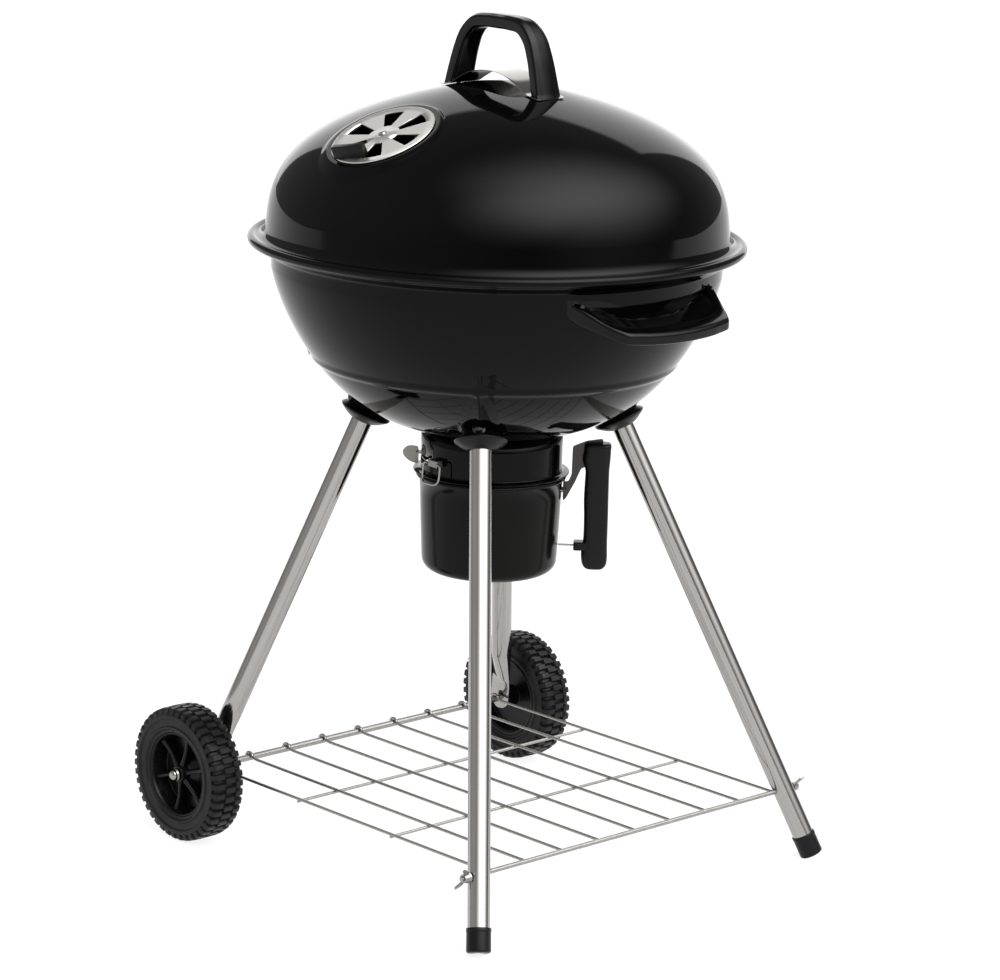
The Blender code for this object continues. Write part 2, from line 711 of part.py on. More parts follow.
# ---- shelf ----
def shelf_hook(y):
    """A long wire: from the end bar to the axle, and over the top of it."""
    ride = AXLE_R + GAP + SHELF_WIRE_R
    over = arc(AXLE_X, SHELF_Z, ride, 0, 200, 6)
    return [(SHELF_BAR_X, y, SHELF_Z)] + [(x, y, z) for x, z in over]


def make_shelf():
    bar = cylinder("wire_shelf", SHELF_BAR_R, 0.536, (SHELF_BAR_X, 0, SHELF_Z), (0, 1, 0), zinc_wire(), 12,
                   PARTS)
    long_wires = wire("shelf_long_wires", [shelf_hook(SHELF_SPACING * i) for i in range(-4, 5) if abs(i) < 4]
                      + [shelf_hook(sign * 0.2270) for sign in (-1, 1)], SHELF_WIRE_R, zinc_wire(),
                      collection=CUTTERS)
    under = SHELF_Z - 1.4 * SHELF_WIRE_R
    cross = [[(x, -0.2285, under), (x, 0.2285, under)] for x in SHELF_CROSS_X]
    cross_wires = wire("shelf_cross_wires", cross, SHELF_WIRE_R, zinc_wire(), collection=CUTTERS)
    return join(bar, long_wires, cross_wires)


def make_wing_nut(name, y_side):
    bore = SHELF_BAR_R + GAP
    profile = [(bore, 0.004), (0.0050, 0.004), (0.0065, -0.004), (bore, -0.004)]
    place = Vector((SHELF_BAR_X, 0.2610 * y_side, SHELF_Z))
    nut = aim(turned(f"wing_nut_{name}", profile, zinc_wire(), 16), place, (0, y_side, 0))
    for wing in (-1, 1):
        outline = [(0.0045, -0.003), (0.0130, 0.004), (0.0150, 0.009), (0.0120, 0.010), (0.0045, 0.003)]
        leaf = prism(f"wing_{name}_{wing + 1}", [[(x * wing, y) for x, y in outline]], 0.0018, None,
                     Matrix.Translation(place) @ leaf_turn(y_side), CUTTERS)
        join(nut, leaf)
    return nut


def leaf_turn(y_side):
    """Local X runs across the nut, leaning up from level, and local Y runs outwards along the bar."""
    across = Vector((0.5, 0.0, math.sqrt(0.75)))
    out = Vector((0.0, y_side, 0.0))
    return Matrix((across, out, across.cross(out))).transposed().to_4x4()


# ---- ash catcher ----
def make_collar():
    wall = 0.0012
    inside = COLLAR_R - wall
    top = bowl_z(inside) - 2 * GAP
    bottom = COLLAR_BOTTOM_Z + GAP
    flange = COLLAR_BOTTOM_Z + 0.0015
    profile = [(COLLAR_R, top), (COLLAR_R, COLLAR_BOTTOM_Z + 0.003), (0.0835, flange),
               (0.0905, flange), (0.0905, bottom), (inside, bottom), (inside, top)]
    collar = turned("ash_collar", profile, enamel(), ROUND)
    swing = math.radians(36)
    slot = prism("lever_slot", [sector(0.070, 0.095, SWEEPER_ANGLE, swing, 6)], 0.0050, None,
                 Matrix.Translation((0, 0, 0.4690)), CUTTERS)
    return cut(collar, slot)


def bucket_radius(z):
    share = (z - BUCKET_BOTTOM_Z) / (BUCKET_TOP_Z - BUCKET_BOTTOM_Z)
    return BUCKET_BASE_R + (BUCKET_TOP_R - BUCKET_BASE_R) * share


def make_bucket():
    wall = 0.001
    corner = 0.013
    base_arc = arc(BUCKET_BASE_R - corner, BUCKET_BOTTOM_Z + corner, corner, 0, -90, 3)
    outer = [(BUCKET_TOP_R, BUCKET_TOP_Z - 0.007)] + base_arc
    bead = arc(BUCKET_TOP_R + 0.0015, BUCKET_TOP_Z - 0.0035, 0.0035, 170, -110, 4)
    inner = offset_line([(BUCKET_TOP_R, BUCKET_TOP_Z - 0.004)] + base_arc, -wall)
    profile = bead + outer + [(0.0, BUCKET_BOTTOM_Z), (0.0, BUCKET_BOTTOM_Z + wall)] + inner[::-1]
    bucket = turned("ash_bucket", profile, enamel(), ROUND)
    return cut(bucket, *rivet_holes("bucket"))


def rivet_places():
    """The two rivets of the bracket's tab, one each side of its upright sheet."""
    side = radial(GRIP_ANGLE + math.pi / 2, 0.0062, 0.0)
    middle = radial(GRIP_ANGLE, BUCKET_TOP_R, 0.4300)
    return middle - side, middle + side


def rivet_holes(name):
    return [cylinder(f"{name}_rivet_hole_{i}", BRACKET_RIVET_R + GAP, 0.02, place, radial(GRIP_ANGLE, 1, 0),
                     None, 10) for i, place in enumerate(rivet_places())]


def make_bracket():
    """A radial sheet from the bucket's side out to the head of the grip, with a folded tab on the bucket."""
    foot_r = BUCKET_TOP_R + GAP + 0.0002
    outline = [(foot_r, 0.4190), (foot_r + 0.003, 0.4185), (0.0975, 0.4400), (0.1040, 0.4560),
               (0.1120, 0.4590), (0.1285, 0.4600), (0.1285, 0.4920), (0.1100, 0.4890), (0.0935, 0.4820),
               (0.0930, 0.4480), (0.0895, 0.4400), (foot_r, 0.4400)]
    bracket = prism("bucket_bracket", [outline], 0.0020, plated_steel(), upright_plate(GRIP_ANGLE))
    tab = block("bracket_tab", (0.0016, 0.018, 0.022), radial(GRIP_ANGLE, foot_r + 0.0012, 0.4300), None,
                rotation=(0, 0, GRIP_ANGLE), collection=CUTTERS)
    join(bracket, tab)
    return cut(bracket, *rivet_holes("bracket"))


def make_grip():
    """The bucket's upright plastic handle, with a slot for the bracket and a clip near its foot."""
    outline = ([(GRIP_R - 0.0105, 0.4850), (GRIP_R - 0.0125, 0.4640), (GRIP_R - 0.0085, 0.4560),
                (GRIP_R - 0.0095, 0.4200), (GRIP_R - 0.0085, 0.3800), (GRIP_R - 0.0090, 0.3700),
                (GRIP_R - 0.0240, 0.3690), (GRIP_R - 0.0245, 0.3600), (GRIP_R - 0.0110, 0.3570)]
               + arc(GRIP_R + 0.0010, 0.3480, 0.0115, 190, 360, 6)
               + [(GRIP_R + 0.0120, 0.4000), (GRIP_R + 0.0115, 0.4500), (GRIP_R + 0.0130, 0.4870)])
    grip = prism("bucket_grip", [outline], 0.022, matte_plastic(), upright_plate(GRIP_ANGLE))
    edge = grip.modifiers.new("edge", 'BEVEL')
    edge.width = 0.003
    edge.segments = 2
    edge.angle_limit = math.radians(60)
    slot = prism("grip_slot", [[(0.08, 0.4400), (0.1285 + GAP, 0.4400), (0.1285 + GAP, 0.5000),
                                (0.08, 0.5000)]], 0.0026, None, upright_plate(GRIP_ANGLE), CUTTERS)
    hole = cylinder("grip_link_hole", 0.0012 + GAP, 0.024, radial(GRIP_ANGLE, 0.098, 0.3645),
                    radial(GRIP_ANGLE, 1, 0), None, 12)
    return cut(grip, slot, hole)


def make_grip_link():
    start = bucket_radius(0.3645) + GAP
    path = [radial(GRIP_ANGLE, r, 0.3645) for r in (start, 0.1090)]
    return wire("grip_link", [path], 0.0012, zinc_wire())


def make_bracket_rivets():
    rivets = []
    for i, place in enumerate(rivet_places()):
        face = 0.0028
        profile = [(0.0, face + 0.0012), (0.0020, face + 0.0010), (0.0032, face), (BRACKET_RIVET_R, face),
                   (BRACKET_RIVET_R, -0.0045), (0.0, -0.0045)]
        rivet = turned(f"bracket_rivet_{i + 1}", profile, plated_steel(), 8, closed=False)
        rivets.append(aim(rivet, place, radial(GRIP_ANGLE, 1, 0)))
    return rivets


CLIP_Z = 0.4700
CLIP_R = 0.0925


def make_clip(name, y_side):
    """A wire loop that hangs from a small block on the collar, in front of the bucket's rolled edge."""
    base = block(f"clip_bracket_{name}", (0.016, 0.0095, 0.008), (0, y_side * 0.0875, CLIP_Z), plated_steel(),
                 bevel=0.0008)
    swing = pivot(f"bucket_clip_{name}_swing", (0, y_side * CLIP_R, CLIP_Z))
    low = 0.0935
    points = [(0.0085, CLIP_R, CLIP_Z), (0.0125, CLIP_R, CLIP_Z), (0.0140, CLIP_R + 0.0004, CLIP_Z - 0.003),
              (0.0140, low, 0.4560), (0.0140, low + 0.001, 0.4420), (0.0110, low + 0.0035, 0.4370)]
    path = [(x, y_side * y, z) for x, y, z in points]
    path += [(-x, y, z) for x, y, z in reversed(path)]
    loop = wire(f"bucket_clip_{name}", [path], 0.0012, zinc_wire())
    hang(swing, loop)
    return base


# ---- ash sweeper ----
def make_sweeper():
    turn = pivot("ash_sweeper_turn", (0, 0, BOWL_FLOOR_Z))
    deck = BOWL_FLOOR_Z + SHEET + GAP
    blade = 0.0014
    outline = []
    for i in range(3):
        middle = math.tau * i / 3 + math.pi / 3
        outline += arc(0, 0, 0.066, math.degrees(middle) - 29, math.degrees(middle) + 29, 6)
        outline += arc(0, 0, 0.014, math.degrees(middle) + 45, math.degrees(middle) + 75, 2)
    hole = arc(0, 0, AXLE_R + GAP, 0, 330, 11)
    blades = prism("sweeper_blades", [outline, hole], blade, plated_steel(),
                   Matrix.Translation((0, 0, deck + blade / 2)))
    head = deck + blade + GAP
    profile = [(0.0, head + 0.003), (0.006, head + 0.003), (0.008, head + 0.0015), (0.008, head),
               (AXLE_R, head), (AXLE_R, 0.4570), (0.0, 0.4570)]
    shaft = turned("sweeper_shaft", profile, plated_steel(), 20, closed=False)
    bar_z = 0.4690
    out = Matrix.Translation((0, 0, bar_z)) @ Matrix.Rotation(SWEEPER_ANGLE, 4, 'Z')
    bar_outline = arc(0, 0, 0.009, 90, 270, 6) + [(0.0875, -0.006), (0.0875, 0.006)]
    lever = prism("sweeper_lever", [bar_outline, arc(0, 0, AXLE_R + GAP, 0, 330, 11)], 0.0020,
                  plated_steel(), out)
    paddle = [(0.0845, 0.4730), (0.0860, 0.4760), (0.0970, 0.4765)] \
        + arc(0.0970, 0.4700, 0.0065, 80, 0, 3) + [(0.1020, 0.4640), (0.0945, 0.4575), (0.0845, 0.4545)]
    join(lever, prism("lever_paddle", [paddle], 0.0022, None, upright_plate(SWEEPER_ANGLE), CUTTERS))
    nut = prism("sweeper_nut", [arc(0, 0, 0.0080, 0, 300, 5), arc(0, 0, AXLE_R + GAP, 0, 330, 11)], 0.0056,
                plated_steel(), Matrix.Translation((0, 0, 0.4648)))
    hang(turn, blades, shaft, lever, nut)
    return turn


# ---- grates ----
def make_grate(name, radius, z, spacing, wire_r, ring_r):
    """Parallel wires on two cross wires, welded to a round frame."""
    ring = [(radius * math.cos(a), radius * math.sin(a), z) for a in
            (math.tau * i / ROUND for i in range(ROUND))]
    frame = wire(name, [ring], ring_r, plated_steel(), resolution=0, cyclic=True)
    count = int((radius - spacing / 2) / spacing)
    reach = [(spacing * i, math.sqrt(radius ** 2 - (spacing * i) ** 2)) for i in range(-count, count + 1)]
    rods = [[(-half, y, z), (half, y, z)] for y, half in reach]
    across = radius * 0.5
    half = math.sqrt(radius ** 2 - across ** 2)
    under = z - 1.4 * wire_r
    ties = [[(x, -half, under), (x, half, under)] for x in (-across, across)]
    join(frame, wire(f"{name}_rods", rods, wire_r, None, resolution=0, collection=CUTTERS),
         wire(f"{name}_ties", ties, wire_r, None, resolution=0, collection=CUTTERS))
    return frame


def make_grate_supports():
    """Small shelves inside the bowl that the cooking grate rests on."""
    for i in range(4):
        angle = math.radians(45 + 90 * i)
        place = radial(angle, 0.2470, COOKING_GRATE_Z - 0.0050)
        block(f"grate_support_{i + 1}", (0.016, 0.018, 0.0025), place, plated_steel(), rotation=(0, 0, angle))


# ---- build ----
def main():
    clear_scene()
    envelope = bowl_envelope("bowl_envelope", GAP)
    make_bowl()
    lid = make_lid()
    damper, rivet, tab = make_vent()
    lift = pivot("lid_lift", (0, 0, RIM_Z))
    hang(lift, lid, rivet, make_lid_handle(), make_heat_shield(), *make_lid_screws())
    turn = pivot("vent_turn", VENT_CENTRE)
    hang(turn, damper, tab)
    make_side_handle(envelope)
    make_side_screws()
    for name, x_side, y_side in LEGS:
        make_socket(name, x_side, y_side, envelope)
        make_bolt(name, x_side, y_side)
        make_leg(name, x_side, y_side)
        if x_side > 0:
            make_cap(name, x_side, y_side)
            make_wing_nut(name, y_side)
    make_axle()
    make_wheel("front", -1)
    make_wheel("back", 1)
    make_shelf()
    make_collar()
    bucket = pivot("ash_bucket_slide", (0, 0, BUCKET_TOP_Z))
    hang(bucket, make_bucket(), make_bracket(), make_grip(), make_grip_link(), *make_bracket_rivets())
    make_clip("front", -1)
    make_clip("back", 1)
    make_sweeper()
    make_grate("cooking_grate", COOKING_GRATE_R, COOKING_GRATE_Z, 0.036, 0.0022, 0.0030)
    make_grate("charcoal_grate", CHARCOAL_GRATE_R, CHARCOAL_GRATE_Z, 0.040, 0.0024, 0.0030)
    make_grate_supports()


main()
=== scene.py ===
"""Looks of a kettle charcoal grill, laid out as an add-on: an operator for each piece and one for the stage.

Every new piece is a surface computed on a grid of two parameters, in metres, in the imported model's frame.
The kettle's axis is Z, the lid's vent faces -Y, the side handle is at +X and the wheels are at -X.
"""
import json
import math

import bmesh
import bpy
import numpy as np
from bpy.props import FloatProperty, FloatVectorProperty, IntProperty, PointerProperty
from mathutils import Matrix, Vector


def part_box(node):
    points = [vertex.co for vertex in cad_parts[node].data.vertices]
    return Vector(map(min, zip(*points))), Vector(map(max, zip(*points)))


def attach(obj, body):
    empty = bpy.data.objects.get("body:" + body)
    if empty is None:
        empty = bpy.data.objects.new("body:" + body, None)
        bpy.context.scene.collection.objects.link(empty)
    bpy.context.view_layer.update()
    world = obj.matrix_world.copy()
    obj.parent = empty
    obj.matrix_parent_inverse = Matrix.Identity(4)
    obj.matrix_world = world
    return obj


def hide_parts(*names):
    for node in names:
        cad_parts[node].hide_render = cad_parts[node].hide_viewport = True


bl_info = {
    "name": "Kettle charcoal grill",
    "version": (1, 0, 0),
    "blender": (4, 5, 0),
    "location": "3D View > Sidebar > Grill",
    "description": "Builds the visible pieces of a kettle charcoal grill on its packed frame",
    "category": "Object",
}

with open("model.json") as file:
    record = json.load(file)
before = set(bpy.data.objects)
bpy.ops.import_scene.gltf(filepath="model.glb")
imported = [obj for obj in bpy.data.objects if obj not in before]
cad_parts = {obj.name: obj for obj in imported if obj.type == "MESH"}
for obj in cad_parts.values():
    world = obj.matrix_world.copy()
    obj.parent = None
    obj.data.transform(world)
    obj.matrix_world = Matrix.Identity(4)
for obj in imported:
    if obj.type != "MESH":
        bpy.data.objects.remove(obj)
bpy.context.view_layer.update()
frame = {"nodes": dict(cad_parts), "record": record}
JOINTS = {joint["name"]: joint for joint in frame["record"]["behaviour"]["joints"]}

TAU = 2 * np.pi
LID_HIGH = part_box("lid")[1]
SHEET = 0.0014                          # enamelled steel of lid and bowl
DOME = dict(radius=0.265, height=LID_HIGH.z - 0.698, n=1.3, m=3.5, z0=0.698)
BOWL = dict(radius=0.258, height=0.192, n=2.9, m=1.3, z0=0.689)
BOWL_FLOOR_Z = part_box("bowl")[0].z
RING_Z = 0.584                          # the bowl's rolled ring
DOME_EDGE_R = 0.2628                    # where the dome's line meets its flare
LEG_R = 0.0125
FLAT_HALF = 0.0014                      # half the thickness of a wheel leg's flat end
AXLE_R = 0.004
LEGS = (("front", 1, -1), ("back", 1, 1), ("wheel_front", -1, -1), ("wheel_back", -1, 1))
GRIP_ANGLE = math.radians(45)
LEVER_ANGLE = math.radians(225)


# ---- colours, nodes and finishes ----
def linear(code):
    """An sRGB hex colour as linear red, green and blue."""
    channels = [int(code[i:i + 2], 16) / 255 for i in (1, 3, 5)]
    return tuple(c / 12.92 if c <= 0.04045 else ((c + 0.055) / 1.055) ** 2.4 for c in channels)


def add(tree, kind, inputs=(), **settings):
    """A node with its settings, and its inputs set to a value or linked from another node's socket."""
    made = tree.nodes.new(kind)
    for key, value in settings.items():
        setattr(made, key, value)
    for socket, value in dict(inputs).items():
        if isinstance(value, bpy.types.NodeSocket):
            tree.links.new(value, made.inputs[socket])
        else:
            made.inputs[socket].default_value = value
    return made


def finish(name, **sockets):
    """A new material of this name, its node tree and its Principled shader with constant sockets set."""
    made = bpy.data.materials.new(name)
    made.use_nodes = True
    shader = made.node_tree.nodes["Principled BSDF"]
    for socket, value in sockets.items():
        shader.inputs[socket.replace("_", " ")].default_value = value
    return made, made.node_tree, shader


def scaled(tree, source, scale):
    """Coordinates of the piece: its Object coordinates or its own attribute, times a scale for each axis."""
    if source == "Object":
        where = add(tree, "ShaderNodeTexCoord").outputs["Object"]
    else:
        where = add(tree, "ShaderNodeAttribute", attribute_name=source).outputs["Vector"]
    return add(tree, "ShaderNodeMapping", {"Vector": where, "Scale": scale}).outputs["Vector"]


def mottle(tree, shader, source, scale, dark, light, rough, relief_mm, detail):
    """Colour, roughness and relief that all follow one noise: the relief's depth is given in millimetres."""
    noise = add(tree, "ShaderNodeTexNoise",
                {"Vector": scaled(tree, source, scale), "Scale": 1.0, "Detail": detail})
    value = noise.outputs["Fac"]
    colour = add(tree, "ShaderNodeMix", {0: value, 6: (*dark, 1), 7: (*light, 1)}, data_type="RGBA")
    spread = add(tree, "ShaderNodeMapRange", {"Value": value, "From Min": 0.3, "From Max": 0.7,
                                              "To Min": rough[0], "To Max": rough[1]})
    relief = add(tree, "ShaderNodeBump", {"Height": value, "Strength": 1.0, "Distance": relief_mm / 1000})
    tree.links.new(colour.outputs[2], shader.inputs["Base Color"])
    tree.links.new(spread.outputs["Result"], shader.inputs["Roughness"])
    tree.links.new(relief.outputs["Normal"], shader.inputs["Normal"])


GLASS = {"IOR": 1.5, "Specular_IOR_Level": 0.11}
NYLON = {"IOR": 1.53, "Specular_IOR_Level": 0.16}
METAL = {"Metallic": 1.0}
# Each finish: its material's name; its pattern's coordinates and scale per metre; its dark and light colours;
# its least and greatest roughness; its relief in millimetres and its noise's detail; its shader's constants.
FINISHES = {
    # Vitreous enamel fired on pressed steel: deep black glass with a faint ripple about 30 mm apart.
    "enamel": ("vitreous_enamel_fired", "Object", (33, 33, 33), "#020202", "#040404",
               (0.035, 0.06), 0.006, 1, GLASS),
    # Thin sprayed enamel on the ash bucket: satin, with orange peel about 3 mm apart.
    "bucket": ("sprayed_enamel_satin", "Object", (330, 330, 330), "#070706", "#090908",
               (0.15, 0.19), 0.0006, 1, GLASS),
    # Nylon moulded in a polished tool: black and glossy, with a very faint flow ripple 12 mm apart.
    "gloss": ("nylon_moulded_polished", "Object", (80, 80, 80), "#030303", "#060606",
              (0.07, 0.12), 0.004, 2, NYLON),
    # Glass-filled nylon from a spark-eroded tool: a fine matt grain, drawn 1 mm apart so that it shows.
    "satin": ("nylon_moulded_grained", "Object", (1000, 1000, 1000), "#080808", "#0e0e0e",
              (0.24, 0.38), 0.01, 3, NYLON),
    # Blow-moulded polyethylene tread: dull black-grey, with dusty patches 9 mm apart and a fine skin.
    "tyre": ("polyethylene_blow_moulded", "Object", (110, 110, 110), "#0d0d0d", "#161616",
             (0.36, 0.52), 0.05, 6, {"IOR": 1.5, "Specular_IOR_Level": 0.2}),
    # Injection-moulded polypropylene: black with a soft shine and a ripple 5 mm apart.
    "hub": ("polypropylene_moulded", "Object", (200, 200, 200), "#060606", "#0b0b0b",
            (0.22, 0.34), 0.012, 3, {"IOR": 1.49, "Specular_IOR_Level": 0.2}),
    # Stainless tube, drawn and polished: lines along the tube, 0.8 mm apart round it and long along it.
    "tube": ("stainless_tube_drawn", "own", (1250, 1250, 9), "#8e8c89", "#b4b2ae",
             (0.09, 0.15), 0.003, 2, METAL),
    # Stainless sheet, brushed and then polished: mirror-like, with faint lines 0.7 mm apart across X.
    "polish": ("stainless_sheet_polished", "Object", (60, 1400, 1400), "#8a8884", "#a6a4a0",
               (0.08, 0.16), 0.002, 2, METAL),
    # Stainless disc, brushed: a bright satin with grain lines 0.6 mm apart across Y.
    "damper": ("stainless_disc_brushed", "Object", (50, 1600, 400), "#c2c0bb", "#dad8d4",
               (0.34, 0.46), 0.004, 2, METAL),
    # Wire with bright zinc plating: grey metal, slightly cloudy, with patches 4 mm apart.
    "wire": ("steel_wire_zinc_plated", "Object", (250, 250, 250), "#8c8a87", "#aaa8a4",
             (0.26, 0.38), 0.01, 3, METAL),
    # Pressed steel sheet with zinc plating: a dull silver with cloudy patches 7 mm apart.
    "plated": ("steel_pressed_zinc_plated", "Object", (140, 140, 140), "#6f6d6a", "#8f8d89",
               (0.28, 0.42), 0.02, 3, METAL),
    # Pressed steel sheet with a thin oxide finish: dark grey metal with cloudy patches 7 mm apart.
    "oxide": ("steel_pressed_blackened", "Object", (140, 140, 140), "#3a3937", "#4a4947",
              (0.26, 0.38), 0.01, 3, METAL),
}
MADE = {}


def coat(key):
    """The material of one finish, made the first time that it is asked for."""
    if key not in MADE:
        name, source, scale, dark, light, rough, relief_mm, detail, sockets = FINISHES[key]
        MADE[key], tree, shader = finish(name, **sockets)
        mottle(tree, shader, source, scale, linear(dark), linear(light), rough, relief_mm, detail)
    return MADE[key]


def dress(key, *nodes):
    """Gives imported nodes, whose shape is right already, a finish."""
    for name in nodes:
        slots = frame["nodes"][name].data.materials
        slots.clear()
        slots.append(coat(key))


# ---- lines ----
def rounded(points, radius, steps=4, closed=False):
    """A line whose corners are parabolic arcs from a radius before to a radius after each corner."""
    line, count = [], len(points)
    t = np.linspace(0, 1, steps + 1)[:, None]
    for i, here in enumerate(np.asarray(points, float)):
        if not closed and i in (0, count - 1):
            line.append(here[None])
            continue
        before, after = np.asarray(points[i - 1], float), np.asarray(points[(i + 1) % count], float)
        reach = [min(radius / np.linalg.norm(q - here), 0.49) for q in (before, after)]
        start, end = here + (before - here) * reach[0], here + (after - here) * reach[1]
        line.append((1 - t) ** 2 * start + 2 * t * (1 - t) * here + t ** 2 * end)
    return np.concatenate(line)


def through(points, count):
    """A cubic Hermite line through points, with its slopes from their neighbours, at even steps of length."""
    p = np.asarray(points, float)
    s = np.r_[0, np.cumsum(np.linalg.norm(np.diff(p, axis=0), axis=1))]
    slope = np.gradient(p, s, axis=0)
    u = np.linspace(0, s[-1], count)
    k = np.clip(np.searchsorted(s, u, side="right") - 1, 0, len(s) - 2)
    h = (s[k + 1] - s[k])[:, None]
    t = (u - s[k])[:, None] / h
    return ((2 * t ** 3 - 3 * t ** 2 + 1) * p[k] + (t ** 3 - 2 * t ** 2 + t) * h * slope[k]
            + (3 * t ** 2 - 2 * t ** 3) * p[k + 1] + (t ** 3 - t ** 2) * h * slope[k + 1])


def evenly(points, count):
    """Points at even steps of length along a line, each between its two nearest."""
    s = np.r_[0, np.cumsum(np.linalg.norm(np.diff(points, axis=0), axis=1))]
    return np.stack([np.interp(np.linspace(0, s[-1], count), s, column) for column in points.T], -1)


def headings(line, closed=False):
    """The unit direction of a line at each of its points, from the points before and after it."""
    along = np.roll(line, -1, 0) - np.roll(line, 1, 0) if closed else np.gradient(line, axis=0)
    return along / np.linalg.norm(along, axis=1)[:, None]


def arch(half, count):
    """A line over the lid, through points (x, z) and their mirror images, and its directions away from it."""
    line = through(half + [(-x, z) for x, z in half[-2::-1]], count)
    along, flat = headings(line), np.zeros(count)
    return np.stack([line[:, 0], flat, line[:, 1]], -1), np.stack([-along[:, 1], flat, along[:, 0]], -1)


def arc(r, z, radius, start, end, steps):
    """Points of an arc about (r, z), angles in degrees."""
    a = np.radians(np.linspace(start, end, steps + 1))
    return np.stack([r + radius * np.cos(a), z + radius * np.sin(a)], -1)


def rise(shell, r):
    """How far a shell stands from its z0 at a radius: height * (1 - (r/radius)^n)^(1/m), a superellipse."""
    return shell["height"] * (1 - np.clip(r / shell["radius"], 0, 1) ** shell["n"]) ** (1 / shell["m"])


def dome_z(r):
    """Height of the dome, above its z0."""
    return DOME["z0"] + rise(DOME, r)


def bowl_z(r):
    """Height of the bowl's outside, below its z0."""
    return BOWL["z0"] - rise(BOWL, r)


def bowl_r(z):
    """Radius of the bowl's outside at a height: the same superellipse solved for r."""
    share = np.clip((BOWL["z0"] - z) / BOWL["height"], 0, 1)
    return BOWL["radius"] * (1 - share ** BOWL["m"]) ** (1 / BOWL["n"])


def superellipse_line(shell, sign, start, end, steps):
    """Points of a shell's line: r = radius cos(a)^(2/n), z = z0 + sign height sin(a)^(2/m), a in degrees."""
    a = np.radians(np.linspace(start, end, steps + 1))
    r = shell["radius"] * np.cos(a) ** (2 / shell["n"])
    return np.stack([r, shell["z0"] + sign * shell["height"] * np.sin(a) ** (2 / shell["m"])], -1)


# ---- surfaces ----
def placed(points, matrix):
    """Points moved by a 4 by 4 matrix."""
    m = np.array(matrix)
    return points @ m[:3, :3].T + m[:3, 3]


def facing(location, axis):
    """Matrix that puts local Z along an axis, at a place."""
    turn = Vector(axis).to_track_quat("Z", "Y").to_matrix().to_4x4()
    return Matrix.Translation(location) @ turn


def surface(points, keep=None, own=None, wrap=True):
    """A (rows, columns, 3) grid as points, quads and own places. The last column meets the first if it wraps,
    and keep says, for each quad, whether it stays."""
    rows, columns = points.shape[:2]
    i, j = np.meshgrid(np.arange(rows - 1), np.arange(columns if wrap else columns - 1), indexing="ij")
    k = (j + 1) % columns
    quads = np.stack([i * columns + j, (i + 1) * columns + j, (i + 1) * columns + k, i * columns + k], -1)
    quads = quads.reshape(-1, 4) if keep is None else quads[keep]
    own = points if own is None else own
    return points.reshape(-1, 3), quads.tolist(), own.reshape(-1, 3)


def turned(profile, matrix=Matrix(), steps=96, keep=None):
    """A profile of (r, z) carried round Z: (r cos a, r sin a, z). It runs down its outer side."""
    line = np.asarray(profile, float)
    a = np.arange(steps) * TAU / steps
    own = np.stack([line[:, :1] * np.cos(a), line[:, :1] * np.sin(a), np.repeat(line[:, 1:], steps, 1)], -1)
    return surface(placed(own, matrix), keep, own)


def loft(path, side, up, half_side, half_up, power=2.0, sides=24, closed=False):
    """A superellipse carried along a path: centre + side a |cos t|^(2/p) + up b |sin t|^(2/p), signs kept.
    Its directions and half widths may change from station to station. Open ends close on their centres."""
    path = np.asarray(path, float)
    count = len(path)
    t = np.arange(sides) * TAU / sides
    c = (np.sign(np.cos(t)) * abs(np.cos(t)) ** (2 / power))[None, :, None]
    s = (np.sign(np.sin(t)) * abs(np.sin(t)) ** (2 / power))[None, :, None]
    side, up = (np.broadcast_to(v, (count, 3))[:, None] for v in (side, up))
    a, b = (np.broadcast_to(v, (count,))[:, None, None] for v in (half_side, half_up))
    rings = path[:, None] + side * a * c + up * b * s
    run = np.r_[0, np.cumsum(np.linalg.norm(np.diff(path, axis=0), axis=1))][:, None, None]
    own = np.concatenate([a * c + 0 * run, b * s + 0 * run, run + 0 * c], -1)
    if closed:
        rings, own = np.concatenate([rings, rings[:1]]), np.concatenate([own, own[:1]])
    else:
        first, last = (np.repeat(path[i][None, None], sides, 1) for i in (0, -1))
        rings = np.concatenate([first, rings, last])
        own = np.concatenate([own[:1], own, own[-1:]])
    return surface(rings, own=own)


def tube(path, radius, normal, sides=12, closed=False):
    """A circle carried along a line that lies in a plane of this normal."""
    path = np.asarray(path, float)
    return loft(path, np.cross(headings(path, closed), normal), normal, radius, radius, 2.0, sides, closed)


def plate(outline, thickness, matrix):
    """A flat outline in local XY and the same outline a thickness above it, joined by a side wall."""
    line = np.asarray(outline, float)
    count = len(line)
    low = np.c_[line, np.full(count, -thickness / 2)]
    own = np.concatenate([low, low + (0, 0, thickness)])
    i = np.arange(count)
    j = (i + 1) % count
    walls = np.stack([i, j, j + count, i + count], -1).tolist()
    return placed(own, matrix), [i[::-1].tolist(), (i + count).tolist()] + walls, own


def outwards(angle):
    """The level direction away from the kettle's axis at an angle."""
    return Vector((math.cos(angle), math.sin(angle), 0.0))


def upright(angle):
    """Matrix whose local X runs outwards from the kettle's axis, local Y up, and local Z across."""
    out = outwards(angle)
    up = Vector((0.0, 0.0, 1.0))
    return Matrix((out, up, out.cross(up))).transposed().to_4x4()


